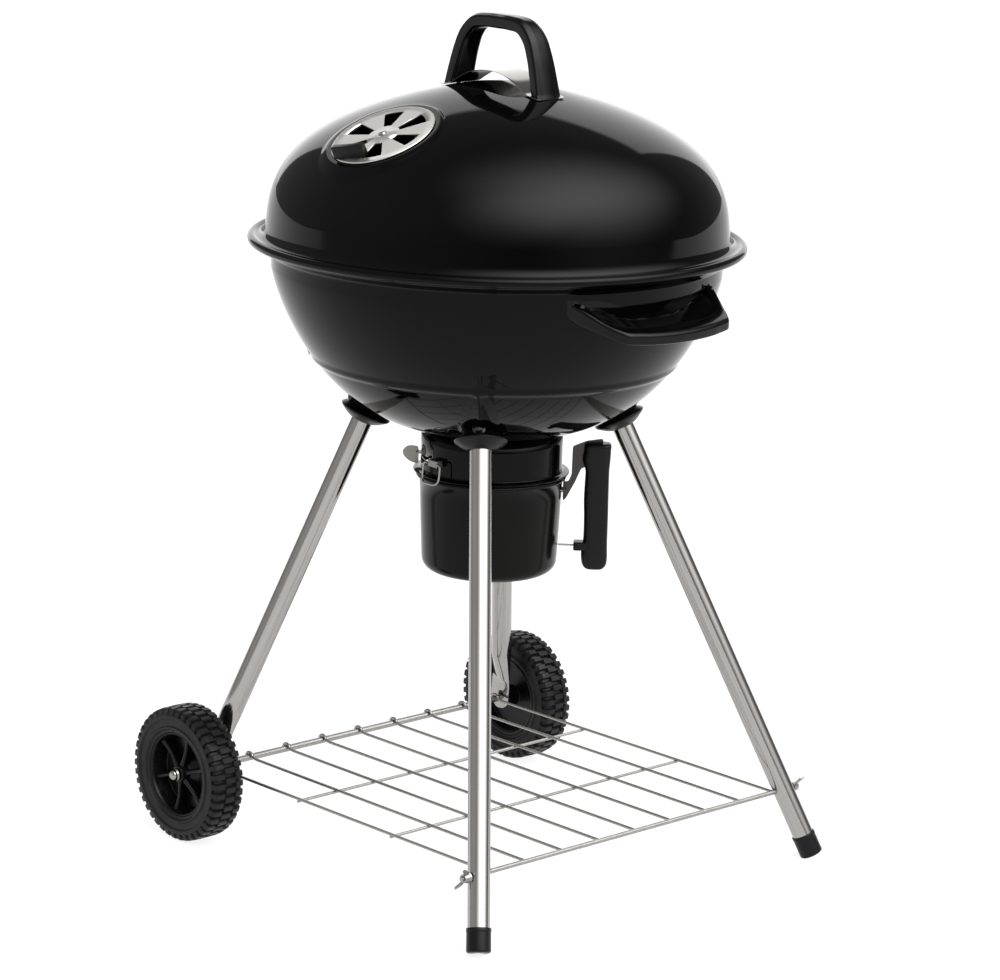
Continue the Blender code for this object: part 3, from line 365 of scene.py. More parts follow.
def make(name, shells, key, body, nodes=(), wall=0.0, bevel=0.0, solid=True, crease=38):
    """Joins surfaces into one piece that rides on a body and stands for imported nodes.

    A closed piece has its faces turned outwards. An open one is a skin that faces outwards already and gets
    its wall inwards.
    """
    points, faces, own, start = [], [], [], 0
    for shell_points, shell_faces, shell_own in shells:
        points.append(shell_points)
        own.append(shell_own)
        faces += [[v + start for v in face] for face in shell_faces]
        start += len(shell_points)
    mesh = bpy.data.meshes.new(name)
    mesh.from_pydata(np.concatenate(points), [], faces)
    mesh.attributes.new("own", "FLOAT_VECTOR", "POINT").data.foreach_set("vector", np.concatenate(own).ravel())
    grid = bmesh.new()
    grid.from_mesh(mesh)
    bmesh.ops.remove_doubles(grid, verts=grid.verts, dist=2e-6)
    bmesh.ops.delete(grid, geom=[v for v in grid.verts if not v.link_faces], context="VERTS")
    if solid:
        bmesh.ops.recalc_face_normals(grid, faces=grid.faces)
    grid.to_mesh(mesh)
    grid.free()
    mesh.shade_smooth()
    mesh.set_sharp_from_angle(angle=math.radians(crease))
    mesh.materials.append(coat(key))
    piece = bpy.data.objects.new(name, mesh)
    bpy.context.scene.collection.objects.link(piece)
    if wall:
        skin = piece.modifiers.new("wall", "SOLIDIFY")
        skin.thickness = wall
        skin.offset = -1.0
    if bevel:
        edge = piece.modifiers.new("edge", "BEVEL")
        edge.width = bevel
        edge.segments = 3
        edge.limit_method = "ANGLE"
        edge.angle_limit = math.radians(crease)
        edge.harden_normals = True
    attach(piece, body)
    if nodes:
        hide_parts(*nodes)
    return piece


# ---- kettle ----
VENT_CENTRE = Vector(JOINTS["vent_turn"]["pos_m"])
VENT_TILT = math.atan2(-JOINTS["vent_turn"]["axis"][1], JOINTS["vent_turn"]["axis"][2])
VENT_MATRIX = Matrix.Translation(VENT_CENTRE) @ Matrix.Rotation(VENT_TILT, 4, "X")
SEAT_Z = -0.0045                # vent seat, below the dome's tangent at the vent's centre
SEAT_R = 0.0655
LIP_R = 0.0745                  # where the seat's lip meets the dome
OPENINGS = (0.019, 0.050)       # inner and outer radius of the six vent openings
DEGREES = np.arange(360)
TURN = np.radians(DEGREES)


def between(period, half):
    """For each degree, whether its quad lies within half of a multiple of the period."""
    return (DEGREES + half) % period < 2 * half


def smoothstep(t):
    """0 below 0 and 1 above 1, and between them t squared times (3 - 2 t)."""
    t = np.clip(t, 0, 1)
    return t * t * (3 - 2 * t)


def rings(radii, heights):
    """Circles of 360 points about Z, one for each radius, at its height."""
    radii = np.asarray(radii)[:, None]
    heights = np.broadcast_to(heights, (360, len(radii))).T
    return np.stack([radii * np.cos(TURN), radii * np.sin(TURN), heights], -1)


def lid_surface():
    """The lid on rays that leave the vent's centre, one for each degree a of a turn round the vent.

    On the seat a point is centre + radius (cos a, sin a) in the vent's plane. The lip blends it to the dome by
    a smoothstep. Beyond the lip the rays run on in plan, at heights from the dome's superellipse, to its edge,
    where they turn into the flare and the rolled edge, which keep each ray's own azimuth.
    """
    heading = np.stack([np.cos(TURN), np.sin(TURN) * math.cos(VENT_TILT)], -1)
    centre = np.array(VENT_CENTRE)[:2]

    def on_dome(flat):
        return np.concatenate([flat, dome_z(np.linalg.norm(flat, axis=-1))[..., None]], -1)

    seat_r = np.array([0.0034, 0.010, OPENINGS[0], 0.034, OPENINGS[1], 0.058, 0.0625, SEAT_R])
    seat = placed(rings(seat_r, SEAT_Z), VENT_MATRIX)
    lip_r = SEAT_R + (LIP_R - SEAT_R) * np.linspace(0, 1, 9)[1:]
    low = placed(rings(lip_r, SEAT_Z), VENT_MATRIX)
    high = on_dome(centre + lip_r[:, None, None] * heading)
    share = smoothstep((lip_r - SEAT_R) / (LIP_R - SEAT_R))[:, None, None]
    lip = low + (high - low) * share

    unit = heading / np.linalg.norm(heading, axis=1)[:, None]
    along = unit @ centre
    reach = -along + np.sqrt(along ** 2 - centre @ centre + DOME_EDGE_R ** 2)
    begin = np.linalg.norm(heading, axis=1) * LIP_R
    t = np.linspace(0, 1, 80)[1:, None]
    out = begin + (reach - begin) * (1 - (1 - t) ** 1.8)
    dome = on_dome(centre + out[..., None] * unit)

    azimuth = np.arctan2(dome[-1, :, 1], dome[-1, :, 0])
    edge_r, bead = LID_HIGH.x - 0.0055, 0.0055
    flare = rounded([(DOME_EDGE_R, dome_z(DOME_EDGE_R)), (0.2652, 0.7300), (0.2685, 0.7240), (0.2745, 0.7222)],
                    0.004)[1:]
    rim = np.concatenate([flare, arc(edge_r, 0.7195, bead, 145, -175, 24)])
    skirt = np.stack([rim[:, :1] * np.cos(azimuth), rim[:, :1] * np.sin(azimuth),
                      np.repeat(rim[:, 1:], 360, 1)], -1)
    points = np.concatenate([seat, lip, dome, skirt])
    keep = np.ones((len(points) - 1, 360), bool)
    keep[2:4] &= ~between(60, 14)
    return surface(points, keep)


def bowl_surface():
    """The bowl: a turned line, pushed out by a rolled ring and by a pad above each leg.

    A pad is a triangle in height and azimuth whose sides fade by a smoothstep, and the ring is a cosine hump.
    Three sectors of the floor are left open for the ash.
    """
    wall = superellipse_line(BOWL, -1, 0, 79, 120)
    bead = arc(0.2665, 0.7155, 0.006, 200, -80, 16)
    neck = rounded([bead[-1], (BOWL["radius"] + 0.0006, 0.7035), wall[0]], 0.003)[1:-1]
    floor = np.array([(r, BOWL_FLOOR_Z) for r in (0.074, 0.068, 0.062, 0.043, 0.024, 0.014, 0.0046)])
    line = np.concatenate([bead, neck, wall, floor])
    r = np.repeat(line[:, :1], 360, 1)
    z = np.repeat(line[:, 1:], 360, 1)
    on_wall = smoothstep((0.66 - z) / 0.02) * smoothstep((z - 0.508) / 0.006)
    ring = 0.0016 * np.cos(np.clip((z - RING_Z) / 0.0045, -1, 1) * np.pi / 2)
    push = ring * on_wall
    for _, x_side, y_side in LEGS:
        azimuth = math.atan2(SOCKET.y * y_side, SOCKET.x * x_side)
        off = abs((TURN - azimuth + np.pi) % TAU - np.pi) * r
        climb = np.clip((0.590 - z) / 0.070, 0, 1)
        half = 0.004 + 0.022 * climb
        pad = smoothstep((half - off) / 0.004 + 0.5) * smoothstep((0.594 - z) / 0.006)
        crest = 0.0012 * smoothstep((0.0022 - off) / 0.002 + 0.5) * smoothstep((0.620 - z) / 0.02)
        push = push + (0.0018 * pad * on_wall) + crest * on_wall
    r = r + push * 0.8
    z = z - push * 0.5
    points = np.stack([r * np.cos(TURN), r * np.sin(TURN), z], -1)
    keep = np.ones((len(points) - 1, 360), bool)
    first = len(points) - 5
    keep[first:first + 2] &= ~between(120, 27)
    return surface(points, keep)


def damper_surface():
    """The damper: a disc on a polar grid with six sectors left out, its rim turned down over 2 mm."""
    radii = np.array([0.0033, 0.0075, 0.0095, OPENINGS[0], 0.034, OPENINGS[1], 0.0560, 0.0575, 0.0595, 0.0605])
    height = np.array([0.0010, 0.0010, 0.0, 0.0, 0.0, 0.0, 0.0, 0.0005, 0.0004, -0.0004])
    own = rings(radii, height + SEAT_Z + 0.0017)
    keep = np.ones((len(radii) - 1, 360), bool)
    keep[3:5] &= ~between(60, 14)
    return surface(placed(own, VENT_MATRIX), keep, own)


def tab_surface():
    """The damper's tab: a rounded bar lofted across the disc's edge, leaning with the disc."""
    matrix = VENT_MATRIX @ Matrix.Translation((0.000, -0.0495, SEAT_Z + 0.0018 + 0.0078)) \
        @ Matrix.Rotation(math.radians(21), 4, "Z")
    x = 0.0198 * np.array([-1, -0.99, -0.95, 0, 0.95, 0.99, 1])
    path = np.stack([x, 0 * x, 0 * x], -1)
    scale = np.array([0.80, 0.93, 1, 1, 1, 0.93, 0.80])
    points, faces, own = loft(path, (0, 1, 0), (0, 0, 1), 0.0040 * scale, 0.0076 * scale, 9.0, 32)
    return placed(points, matrix), faces, own


SHIELD_BEND, SHIELD_END = 0.0620, 0.0825         # the flat end of the heat shield, from the kettle's axis


def dome_rest(x):
    """Height on which the handle's feet and the heat shield's ends lie: a chord of the dome, just above it."""
    slope = (dome_z(SHIELD_END) - dome_z(SHIELD_BEND)) / (SHIELD_END - SHIELD_BEND)
    return dome_z(SHIELD_BEND) + slope * (abs(x) - SHIELD_BEND) + 0.0010


HANDLE_HALF = 0.0082            # half the thickness of the lid handle's band at its top


def handle_surface():
    """The lid's handle: a rounded band lofted along an arch, widest across at its feet.

    A rib runs along the outside, made by a crest of the section's outer side, and the feet follow the dome.
    """
    base, top = float(dome_rest(0.0728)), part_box("lid_handle")[1].z - HANDLE_HALF
    half = [(-0.0735, base - 0.004), (-0.0675, base + 0.020), (-0.0602, base + 0.044), (-0.0525, top - 0.0165),
            (-0.0385, top - 0.0035), (-0.018, top - 0.0002), (0.0, top)]
    stations, sides, half_across = 81, 64, 0.018
    path, out = arch(half, stations)
    lift = np.clip((path[:, 2] - base) / (top - base), 0, 1)
    points, faces, own = loft(path, (0, 1, 0), out, half_across * (1 - 0.26 * lift),
                              HANDLE_HALF - 0.0008 * (1 - lift), 5.0, sides)
    across = abs(own[:, 0]) / half_across
    outer = own[:, 1] > 0.005
    crest = 0.0011 * (smoothstep((0.60 - across) / 0.22) - 1) * outer
    ring = np.repeat(np.r_[0, np.arange(stations), stations - 1], sides)
    points = points + crest[:, None] * out[ring]
    foot = dome_rest(points[:, 0]) + 0.0007
    points[:, 2] = np.where(points[:, 2] < foot, foot, points[:, 2])
    return points, faces, own


def shield_surface():
    """The heat shield: a thin strip lofted along an arch whose two ends lie on the dome."""
    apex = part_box("lid_heat_shield")[1].z - 0.0004
    half = [(-x, dome_rest(x)) for x in (SHIELD_END, 0.0700, SHIELD_BEND)]
    half += [(-0.052, dome_rest(SHIELD_BEND) + 0.0055), (-0.040, apex - 0.0085), (-0.026, apex - 0.0033),
             (-0.013, apex - 0.0008), (0.0, apex)]
    path, out = arch(half, 121)
    end = np.clip((SHIELD_END - abs(path[:, 0])) / 0.004, 0, 1)
    return loft(path, (0, 1, 0), out, 0.0175 + 0.0045 * np.sqrt(end), 0.0004, 6.0, 32)


# ---- side handle ----
def side_handle_surfaces():
    """The side handle: a rounded bar carried round a U, and a thin floor inside it, both sloping outwards.

    The bar's inner and outer edges are two smooth lines; its section is a superellipse between them. Heights
    fall by 0.36 of the distance outwards. Points that would lie inside the bowl are drawn back onto it.
    """
    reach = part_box("side_handle")[1].x
    front = np.linspace(-0.050, 0.0, 4)
    outer = [(0.215, -0.112), (0.245, -0.105), (0.283, -0.087), (0.2950, -0.078)]
    inner = [(0.215, -0.099), (0.243, -0.092), (0.271, -0.079), (0.2765, -0.071)]
    outer += [(reach - 0.0095 * (y / 0.078) ** 2, y) for y in front]
    inner += [(reach - 0.0200 - 0.0045 * (y / 0.074) ** 2, y) for y in front]
    both = np.array([out + into for out, into in zip(outer, inner)])
    both = np.concatenate([both, both[-2::-1] * (1, -1, 1, -1)])
    both = evenly(rounded(both, 0.005, 4), 121)
    outside, inside = np.c_[both[:, :2], np.zeros(121)], np.c_[both[:, 2:], np.zeros(121)]
    middle = (outside + inside) / 2 + (0, 0, 0.6795)
    across = outside - inside
    width = np.linalg.norm(across, axis=1)
    slim = smoothstep((both[:, 0] - 0.235) / 0.045)
    middle[:, 2] -= 0.0025 * slim
    bar = loft(middle, across / width[:, None], (0, 0, 1), width / 2, 0.0105 - 0.0038 * slim, 4.5, 48)
    share = np.linspace(0, 1, 25)[:, None, None]
    left, right = inside[:61], inside[:59:-1]
    deck = left + (right - left) * share
    ramp = 0.0115 * smoothstep((abs(deck[..., 1:2]) - 0.030) / 0.055)
    deck = np.concatenate([deck[..., :2], 0.6712 + ramp], -1)
    upper, lower = deck + (0, 0, 0.0015), deck - (0, 0, 0.0012)
    wrap = np.concatenate([upper, lower[::-1], upper[:1]])
    shells = [bar, surface(wrap, wrap=False)]
    finished = []
    for points, faces, own in shells:
        points = points.copy()
        points[:, 2] -= (points[:, 0] - 0.245) * 0.36
        wall_x = np.sqrt(np.clip((bowl_r(points[:, 2]) + 0.0003) ** 2 - points[:, 1] ** 2, 0, None))
        points[:, 0] = np.maximum(points[:, 0], wall_x)
        finished.append((points, faces, own))
    return finished


# ---- stand ----
SOCKET = Vector((0.10, 0.11, 0.51))             # leg axis where the visible tube begins
CAPPED_FOOT = Vector((0.286, 0.266, 0.0035))
WHEEL_FOOT = Vector((-0.2149, 0.2275, 0.112))
AXLE = Vector((JOINTS["wheel_front_spin"]["pos_m"][0], 0.0, JOINTS["wheel_front_spin"]["pos_m"][2]))
LUG_Y = 0.2350                                  # where a wheel leg's flat end meets the axle


def leg_frame(x_side, y_side):
    """A leg's top and foot, its unit direction up, and the direction outwards across it."""
    top = Vector((SOCKET.x * x_side, SOCKET.y * y_side, SOCKET.z))
    foot = CAPPED_FOOT if x_side > 0 else WHEEL_FOOT
    end = Vector((foot.x, foot.y * y_side, foot.z))
    up = (top - end).normalized()
    out = Vector((top.x, top.y, 0.0)).normalized()
    return top, end, up, (out - up * out.dot(up)).normalized()


def capped_leg(top, end, up):
    """A plain tube, its two ends turned in over the wall."""
    length = (top - end).length
    line = [(0.0, 0.0085), (LEG_R - 0.0012, 0.0085), (LEG_R, 0.0078), (LEG_R, -length / 3),
            (LEG_R, -length * 2 / 3), (LEG_R, -length + 0.0035), (0.0, -length + 0.0030)]
    return turned(line, facing(top, up), 64)


def wheel_leg(top, end, y_side):
    """A tube whose end is pressed flat: its circle widens to 17 mm and thins to 1.4 mm along the last stretch,
    and the flat runs upright to the axle, where it is round."""
    axle = Vector((AXLE.x, LUG_Y * y_side, AXLE.z))
    straight = [tuple(top + (end - top) * t) for t in np.linspace(-0.02, 1.0, 12)]
    flat = [tuple(axle + (end - axle) * t) for t in (0.55, 0.35, 0.15, 0.0)]
    line = np.array(straight + flat)
    line = np.concatenate([line[:11], through(line[11:], 24)])
    last = Vector((AXLE.x - end.x, 0.0, AXLE.z - end.z)).normalized() * 0.0125
    share = np.array([0.4, 0.7, 0.88, 0.97, 1.0])
    tail = np.array(axle) + np.array(last) * share[:, None]
    path = np.concatenate([line, tail])
    press = smoothstep((0.140 - path[:, 2]) / 0.040)
    width = LEG_R * (1 + 0.30 * press)
    width[-len(share):] = 0.0150 * np.sqrt(np.clip(1 - share ** 2, 0.0004, 1))
    thick = LEG_R + (FLAT_HALF - LEG_R) * press
    along = headings(path)
    side = np.cross((0, 1, 0), along)
    side /= np.linalg.norm(side, axis=1)[:, None]
    return loft(path, side, np.cross(along, side), width, thick, 2.0, 64)


def socket_surface(top, up):
    """A saucer turned about the leg. Its upper edge is cast onto the bowl: for each direction round the leg,
    the height where it meets the bowl is found by halving an interval thirty times."""
    steps = 96
    crown = 0.0185
    profile = rounded([(0.0135, -0.0040), (0.0150, -0.0040), (0.0210, -0.0010), (0.0292, 0.0048),
                       (0.0304, 0.0070), (0.0290, 0.0086), (0.0215, 0.0130), (crown, 0.0210),
                       (crown, 0.0500)], 0.002)[::-1]
    a = np.arange(steps) * TAU / steps
    matrix = facing(top, up)

    def ring(radius, height):
        return placed(np.stack([radius * np.cos(a), radius * np.sin(a), height + 0 * a], -1), matrix)

    def meet(radius):
        low, high = np.full(steps, -0.010), np.full(steps, 0.060)
        for _ in range(30):
            middle = (low + high) / 2
            spot = ring(radius, middle)
            inside = spot[:, 2] > bowl_z(np.linalg.norm(spot[:, :2], axis=1)) - 0.0003
            high, low = np.where(inside, middle, high), np.where(inside, low, middle)
        return ring(radius, (low + high) / 2)

    rows = [ring(0.0, np.full(steps, 0.004)), ring(0.0124, np.full(steps, 0.004)), meet(0.015), meet(crown)]
    tip = meet(crown)
    for r, z in profile:
        spot = ring(r, np.full(steps, z))
        low_enough = spot[:, 2] < bowl_z(np.linalg.norm(spot[:, :2], axis=1)) - 0.0003
        rows.append(np.where(low_enough[:, None], spot, tip))
    rows += [ring(0.0128, np.full(steps, -0.0040)), ring(0.0128, np.full(steps, 0.004)),
             ring(0.0, np.full(steps, 0.004))]
    return surface(np.stack(rows))


def bolt_surface(top, up, out):
    """The socket's bolt: a domed head on a thin washer."""
    face = 0.0045
    line = [(0.0, face + 0.0042)] + arc(0.0, face - 0.0008, 0.0050, 82, 18, 8).tolist() \
        + [(0.0054, face + 0.0002), (0.0074, face), (0.0074, face - 0.0010), (0.0025, face - 0.0010),
           (0.0025, -0.0160), (0.0, -0.0160)]
    return turned(line, facing(top + up * 0.0165 + out * 0.0180, out), 32)


def cap_surface(end, up):
    """The cap on a leg's foot: a cup with a bead round its mouth, flattened where it stands on the floor."""
    line = rounded([(0.0127, 0.020), (0.0127, 0.027), (0.0139, 0.027), (0.0140, 0.0235), (0.0136, 0.0225),
                    (0.0137, 0.0015), (0.0120, 0.0), (0.0, 0.0)], 0.0008, 3)
    points, faces, own = turned(line, facing(end, up), 64)
    points[:, 2] = np.maximum(points[:, 2], 0.0)
    return points, faces, own


# ---- wheels ----
LUGS = 42
LUG_DEPTH = 0.0042
WHEEL_Y = JOINTS["wheel_back_spin"]["pos_m"][1]


def on_axle(y, y_side):
    """Matrix that puts local Z outwards along the axle, at a distance from the kettle's middle."""
    return facing(Vector((AXLE.x, y * y_side, AXLE.z)), (0, y_side, 0))


def tyre_surface(y_side):
    """The tyre: a turned section whose tread drops between lugs that repeat 42 times round it.

    A point's radius is the section's minus the depth times the groove's share. The middle row of lugs stands
    half a pitch from the two outer rows, and each lug fills five of its pitch's eight columns.
    """
    box_low, box_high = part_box("tyre_front")
    radius, half = (box_high.z - box_low.z) / 2, (box_high.y - box_low.y) / 2
    side = [(r, half - inset, 0) for r, inset in
            ((0.0503, 0.0040), (0.0535, 0.0030), (0.0550, 0.0008), (0.0570, 0.0006), (0.0580, 0.0020),
             (0.0655, 0.0018), (0.0670, 0.0002), (0.0695, 0.0), (0.0712, 0.0004))]
    side += [(0.0718, half - 0.0006, 1), (0.0768, half - 0.0016, 1), (0.0790, half - 0.0036, 1),
             (radius - 0.0003, half - 0.0070, 1), (radius - 0.0001, 0.0084, 1), (radius - 0.0026, 0.0078, 0.4),
             (radius - 0.0026, 0.0070, 0.4), (radius, 0.0064, 1), (radius, 0.0, 1)]
    section = np.array(side + [(r, -y, w) for r, y, w in side[-2::-1]])
    closed = np.concatenate([section, section[:1]])
    columns = LUGS * 8
    step = np.arange(columns) % 8
    fill = np.array([1, 1, 1, 1, 1, 0, 0, 0])
    near, far = 1 - fill[step], 1 - fill[(step + 4) % 8]
    groove = np.where(abs(closed[:, 1:2]) > 0.0074, near, far) * closed[:, 2:]
    a = np.arange(columns) * TAU / columns
    r = closed[:, :1] - LUG_DEPTH * groove
    y = closed[:, 1:2] - 0.0012 * groove * np.sign(closed[:, 1:2]) * (abs(closed[:, 1:2]) > half - 0.007)
    own = np.stack([r * np.cos(a), r * np.sin(a), y * np.ones_like(a)], -1)
    own = own[::-1]
    return surface(placed(own, on_axle(WHEEL_Y, y_side)), own=own)


def hub_surfaces(y_side):
    """The hub: a turned dish with a boss and a stepped rim, and six tapered spokes lofted from boss to rim."""
    place = on_axle(WHEEL_Y, y_side)
    dish = rounded([(0.0043, 0.0165), (0.0098, 0.0165), (0.0112, 0.0060), (0.0190, -0.0010),
                    (0.0430, -0.0020), (0.0468, 0.0150), (0.0482, 0.0182), (0.0500, 0.0178),
                    (0.0500, -0.0185), (0.0465, -0.0185), (0.0440, -0.0165), (0.0420, -0.0060),
                    (0.0130, -0.0060), (0.0120, -0.0235), (0.0043, -0.0235), (0.0043, 0.0165)], 0.0012, 3)
    shells = [turned(dish, place, 128)]
    r = np.array([0.0085, 0.012, 0.020, 0.030, 0.040, 0.0465])
    crown = np.array([0.0130, 0.0128, 0.0112, 0.0100, 0.0108, 0.0125])
    width = np.array([0.0036, 0.0033, 0.0028, 0.0027, 0.0030, 0.0036])
    for i in range(6):
        angle = TAU * (i + 0.30) / 6
        along = np.array([math.cos(angle), math.sin(angle), 0.0])
        across = np.array([-along[1], along[0], 0.0])
        half = (crown + 0.002) / 2
        path = along * r[:, None] + np.array([0, 0, 1.0]) * (crown - half)[:, None]
        points, faces, own = loft(path, across, (0, 0, 1), width, half, 3.2, 24)
        shells.append((placed(points, place), faces, own))
    return shells


def axle_surface():
    """The axle: a plain rod with chamfered ends."""
    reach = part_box("axle")[1].y
    line = [(0.0, reach), (AXLE_R - 0.0006, reach), (AXLE_R, reach - 0.0006), (AXLE_R, -reach + 0.0006),
            (AXLE_R - 0.0006, -reach), (0.0, -reach)]
    return turned(line, facing(AXLE, (0, 1, 0)), 32)


def axle_cap_surface(y_side):
    """The push-on cap of the axle: a domed crown on a small flange."""
    line = rounded([(0.0, 0.0045), (0.0034, 0.0043), (0.0058, 0.0022), (0.0064, -0.0010), (0.0075, -0.0022),
                    (0.0075, -0.0040), (AXLE_R + 0.0003, -0.0040), (AXLE_R + 0.0003, 0.0003), (0.0, 0.0003)],
                   0.0012, 4)
    return turned(line, on_axle(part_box("axle")[1].y, y_side), 48)


# ---- shelf ----
def shelf_surfaces():
    """The shelf: an end bar, wires from it that hook over the axle, and two wires across beneath them."""
    bar_x = 0.2568
    z = AXLE.z
    wire_r, bar_r = 0.0018, 0.0028
    ride = AXLE_R + 0.0003 + wire_r
    over = np.radians(np.linspace(20, 205, 18))
    hook = np.stack([AXLE.x + ride * np.cos(over), 0 * over, z + ride * np.sin(over)], -1)
    shells = []
    for y in [0.057 * i for i in range(-3, 4)] + [-0.2270, 0.2270]:
        straight = [(bar_x, 0, z), (0.08, 0, z), (-0.10, 0, z), (AXLE.x + 0.014, 0, z)]
        bend = through([straight[-1], (AXLE.x + 0.0095, 0, z + 0.0006), tuple(hook[0])], 6)[1:-1]
        path = np.concatenate([straight, bend, hook]) + (0, y, 0)
        shells.append(tube(path, wire_r, (0, 1, 0), 12))
    for x in (-0.066, 0.096):
        shells.append(tube([(x, y, z - 1.4 * wire_r) for y in (-0.2285, 0, 0.2285)], wire_r, (1, 0, 0), 12))
    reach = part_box("wire_shelf")[1].y
    line = [(0.0, reach), (bar_r - 0.0005, reach), (bar_r, reach - 0.0005)]
    line += [(r, -y) for r, y in line[::-1]]
    shells.append(turned(line, facing(Vector((bar_x, 0, z)), (0, 1, 0)), 24))
    return shells


# ---- ash catcher ----
COLLAR_R = 0.082
COLLAR_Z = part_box("ash_collar")[0].z
BUCKET_LOW, BUCKET_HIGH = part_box("ash_bucket")
LINK_Z = 0.3645                 # height of the grip's foot and of the wire link from it to the bucket
CLIP_WIRE_R = 0.0012            # also the link's


def collar_surface():
    """The collar: a turned wall and a flange, with a slot of 72 degrees left open for the sweeper's lever."""
    top = float(bowl_z(COLLAR_R)) - 0.0006
    line = [(COLLAR_R, top), (COLLAR_R, 0.4850), (COLLAR_R, 0.4715), (COLLAR_R, 0.4665)]
    line += rounded([(COLLAR_R, 0.4600), (COLLAR_R, COLLAR_Z + 0.0022), (0.0898, COLLAR_Z + 0.0016),
                     (0.0905, COLLAR_Z + 0.0010), (0.0903, COLLAR_Z + 0.0003)], 0.003, 5).tolist()
    keep = np.ones((len(line) - 1, 360), bool)
    keep[2] &= abs(DEGREES - 225) > 36
    return turned(line, Matrix(), 360, keep)


def bucket_surface():
    """The bucket: a turned wall that tapers to a rounded foot, under a rolled edge."""
    top_r, base_r = 0.0830, 0.0785
    corner = 0.0150
    low = BUCKET_LOW.z
    outer = [(top_r, BUCKET_HIGH.z - 0.0070), (top_r - 0.0010, 0.425), (top_r - 0.0022, 0.395),
             (base_r + 0.0005, 0.355)]
    foot = arc(base_r - corner, low + corner, corner, 0, -90, 12)
    bead = arc(top_r + 0.0012, BUCKET_HIGH.z - 0.0034, 0.0033, 190, -100, 16)
    inner = foot[::-1] + (-0.0009, 0.0009) * np.ones_like(foot)
    line = np.concatenate([bead, outer, foot, [(0.0, low), (0.0, low + 0.001)], inner,
                           [(top_r - 0.0032, 0.395), (top_r - 0.0012, BUCKET_HIGH.z - 0.0060), bead[0]]])
    return turned(line, Matrix(), 160)


def bracket_surfaces():
    """The bracket: a sheet that stands out from the bucket to the grip, and a folded tab on the bucket."""
    foot_r = 0.0835
    outline = rounded([(foot_r, 0.4190), (foot_r + 0.003, 0.4185), (0.0975, 0.4400), (0.1040, 0.4560),
                       (0.1120, 0.4590), (0.1285, 0.4600), (0.1285, 0.4920), (0.1100, 0.4890), (0.0935, 0.4820),
                       (0.0930, 0.4480), (0.0895, 0.4400), (foot_r, 0.4400)], 0.0025, 3, True)
    tab = rounded([(-0.009, -0.011), (0.009, -0.011), (0.009, 0.011), (-0.009, 0.011)], 0.003, 4, True)
    out = outwards(GRIP_ANGLE)
    place = facing(out * 0.0848 + Vector((0, 0, 0.4300)), out)
    return [plate(outline, 0.0020, upright(GRIP_ANGLE)), plate(tab, 0.0016, place)]


def grip_surfaces():
    """The grip: a superellipse lofted up an upright line, slim in the middle, with a foot that reaches in."""
    z = np.array([0.3370, 0.3375, 0.3395, 0.3430, 0.3480, 0.3600, 0.3700, 0.3850, 0.4000, 0.4200, 0.4400,
                  0.4560, 0.4660, 0.4800, 0.4850, 0.4865, 0.4868])
    back = np.array([0.1205, 0.1178, 0.1150, 0.1128, 0.1117, 0.1113, 0.1130, 0.1135, 0.1133, 0.1126, 0.1130,
                     0.1130, 0.1098, 0.1112, 0.1116, 0.1130, 0.1180])
    front = np.array([0.1255, 0.1285, 0.1312, 0.1335, 0.1343, 0.1342, 0.1340, 0.1340, 0.1340, 0.1338, 0.1337,
                      0.1338, 0.1345, 0.1350, 0.1350, 0.1338, 0.1290])
    half = np.array([0.0050, 0.0075, 0.0093, 0.0104, 0.0109, 0.0110, 0.0108, 0.0105, 0.0104, 0.0104, 0.0105,
                     0.0108, 0.0110, 0.0110, 0.0107, 0.0095, 0.0060])
    table = through(np.stack([z, back, front, half], -1), 73)
    z, back, front, half = table.T
    out = np.array(outwards(GRIP_ANGLE))
    across = np.array([-out[1], out[0], 0])
    back, front = back - 0.0045, front + 0.0030
    path = out * ((back + front) / 2)[:, None] + np.array([0, 0, 1.0]) * z[:, None]
    body = loft(path, out, across, (front - back) / 2, half, 3.4, 48)
    r = np.array([0.0976, 0.0979, 0.0990, 0.1060, 0.1150])
    foot_path = out * r[:, None] + np.array([0, 0, LINK_Z])
    size = np.array([0.70, 0.90, 1.0, 1.0, 1.0])
    foot = loft(foot_path, across, (0, 0, 1), 0.0100 * size, 0.0052 * size, 5.0, 32)
    return [body, foot]


def clip_surface(y_side):
    """A clip: wire bent in one plane into a loop that narrows a little and kicks out at its lower end."""
    pivot_r, z = 0.0925, JOINTS["clip_front_swing"]["pos_m"][2]
    half = [(0.0078, pivot_r, z), (0.0120, pivot_r, z), (0.0140, pivot_r + 0.0002, z - 0.0022),
            (0.0140, 0.0935, 0.4600), (0.0138, 0.0943, 0.4520), (0.0105, 0.0966, 0.4475), (0.0, 0.0969, 0.4470)]
    line = rounded(half + [(-x, y, w) for x, y, w in half[-2::-1]], 0.0035, 5)
    path = line * (1, y_side, 1)
    return tube(path, CLIP_WIRE_R, (0, 1, 0), 12)


def lever_surfaces():
    """The sweeper's lever: a flat bar from the shaft out through the collar's slot, and an upright paddle."""
    bar = rounded([(-0.009, -0.006), (0.0, -0.0085), (0.0875, -0.006), (0.0875, 0.006), (0.0, 0.0085),
                   (-0.009, 0.006)], 0.004, 4, True)
    place = Matrix.Translation((0, 0, 0.4690)) @ Matrix.Rotation(LEVER_ANGLE, 4, "Z")
    paddle = rounded([(0.0845, 0.4730), (0.0860, 0.4760), (0.0970, 0.4765), (0.1035, 0.4705), (0.1020, 0.4640),
                      (0.0945, 0.4575), (0.0845, 0.4545)], 0.004, 5, True)
    return [plate(bar, 0.0020, place), plate(paddle, 0.0022, upright(LEVER_ANGLE))]


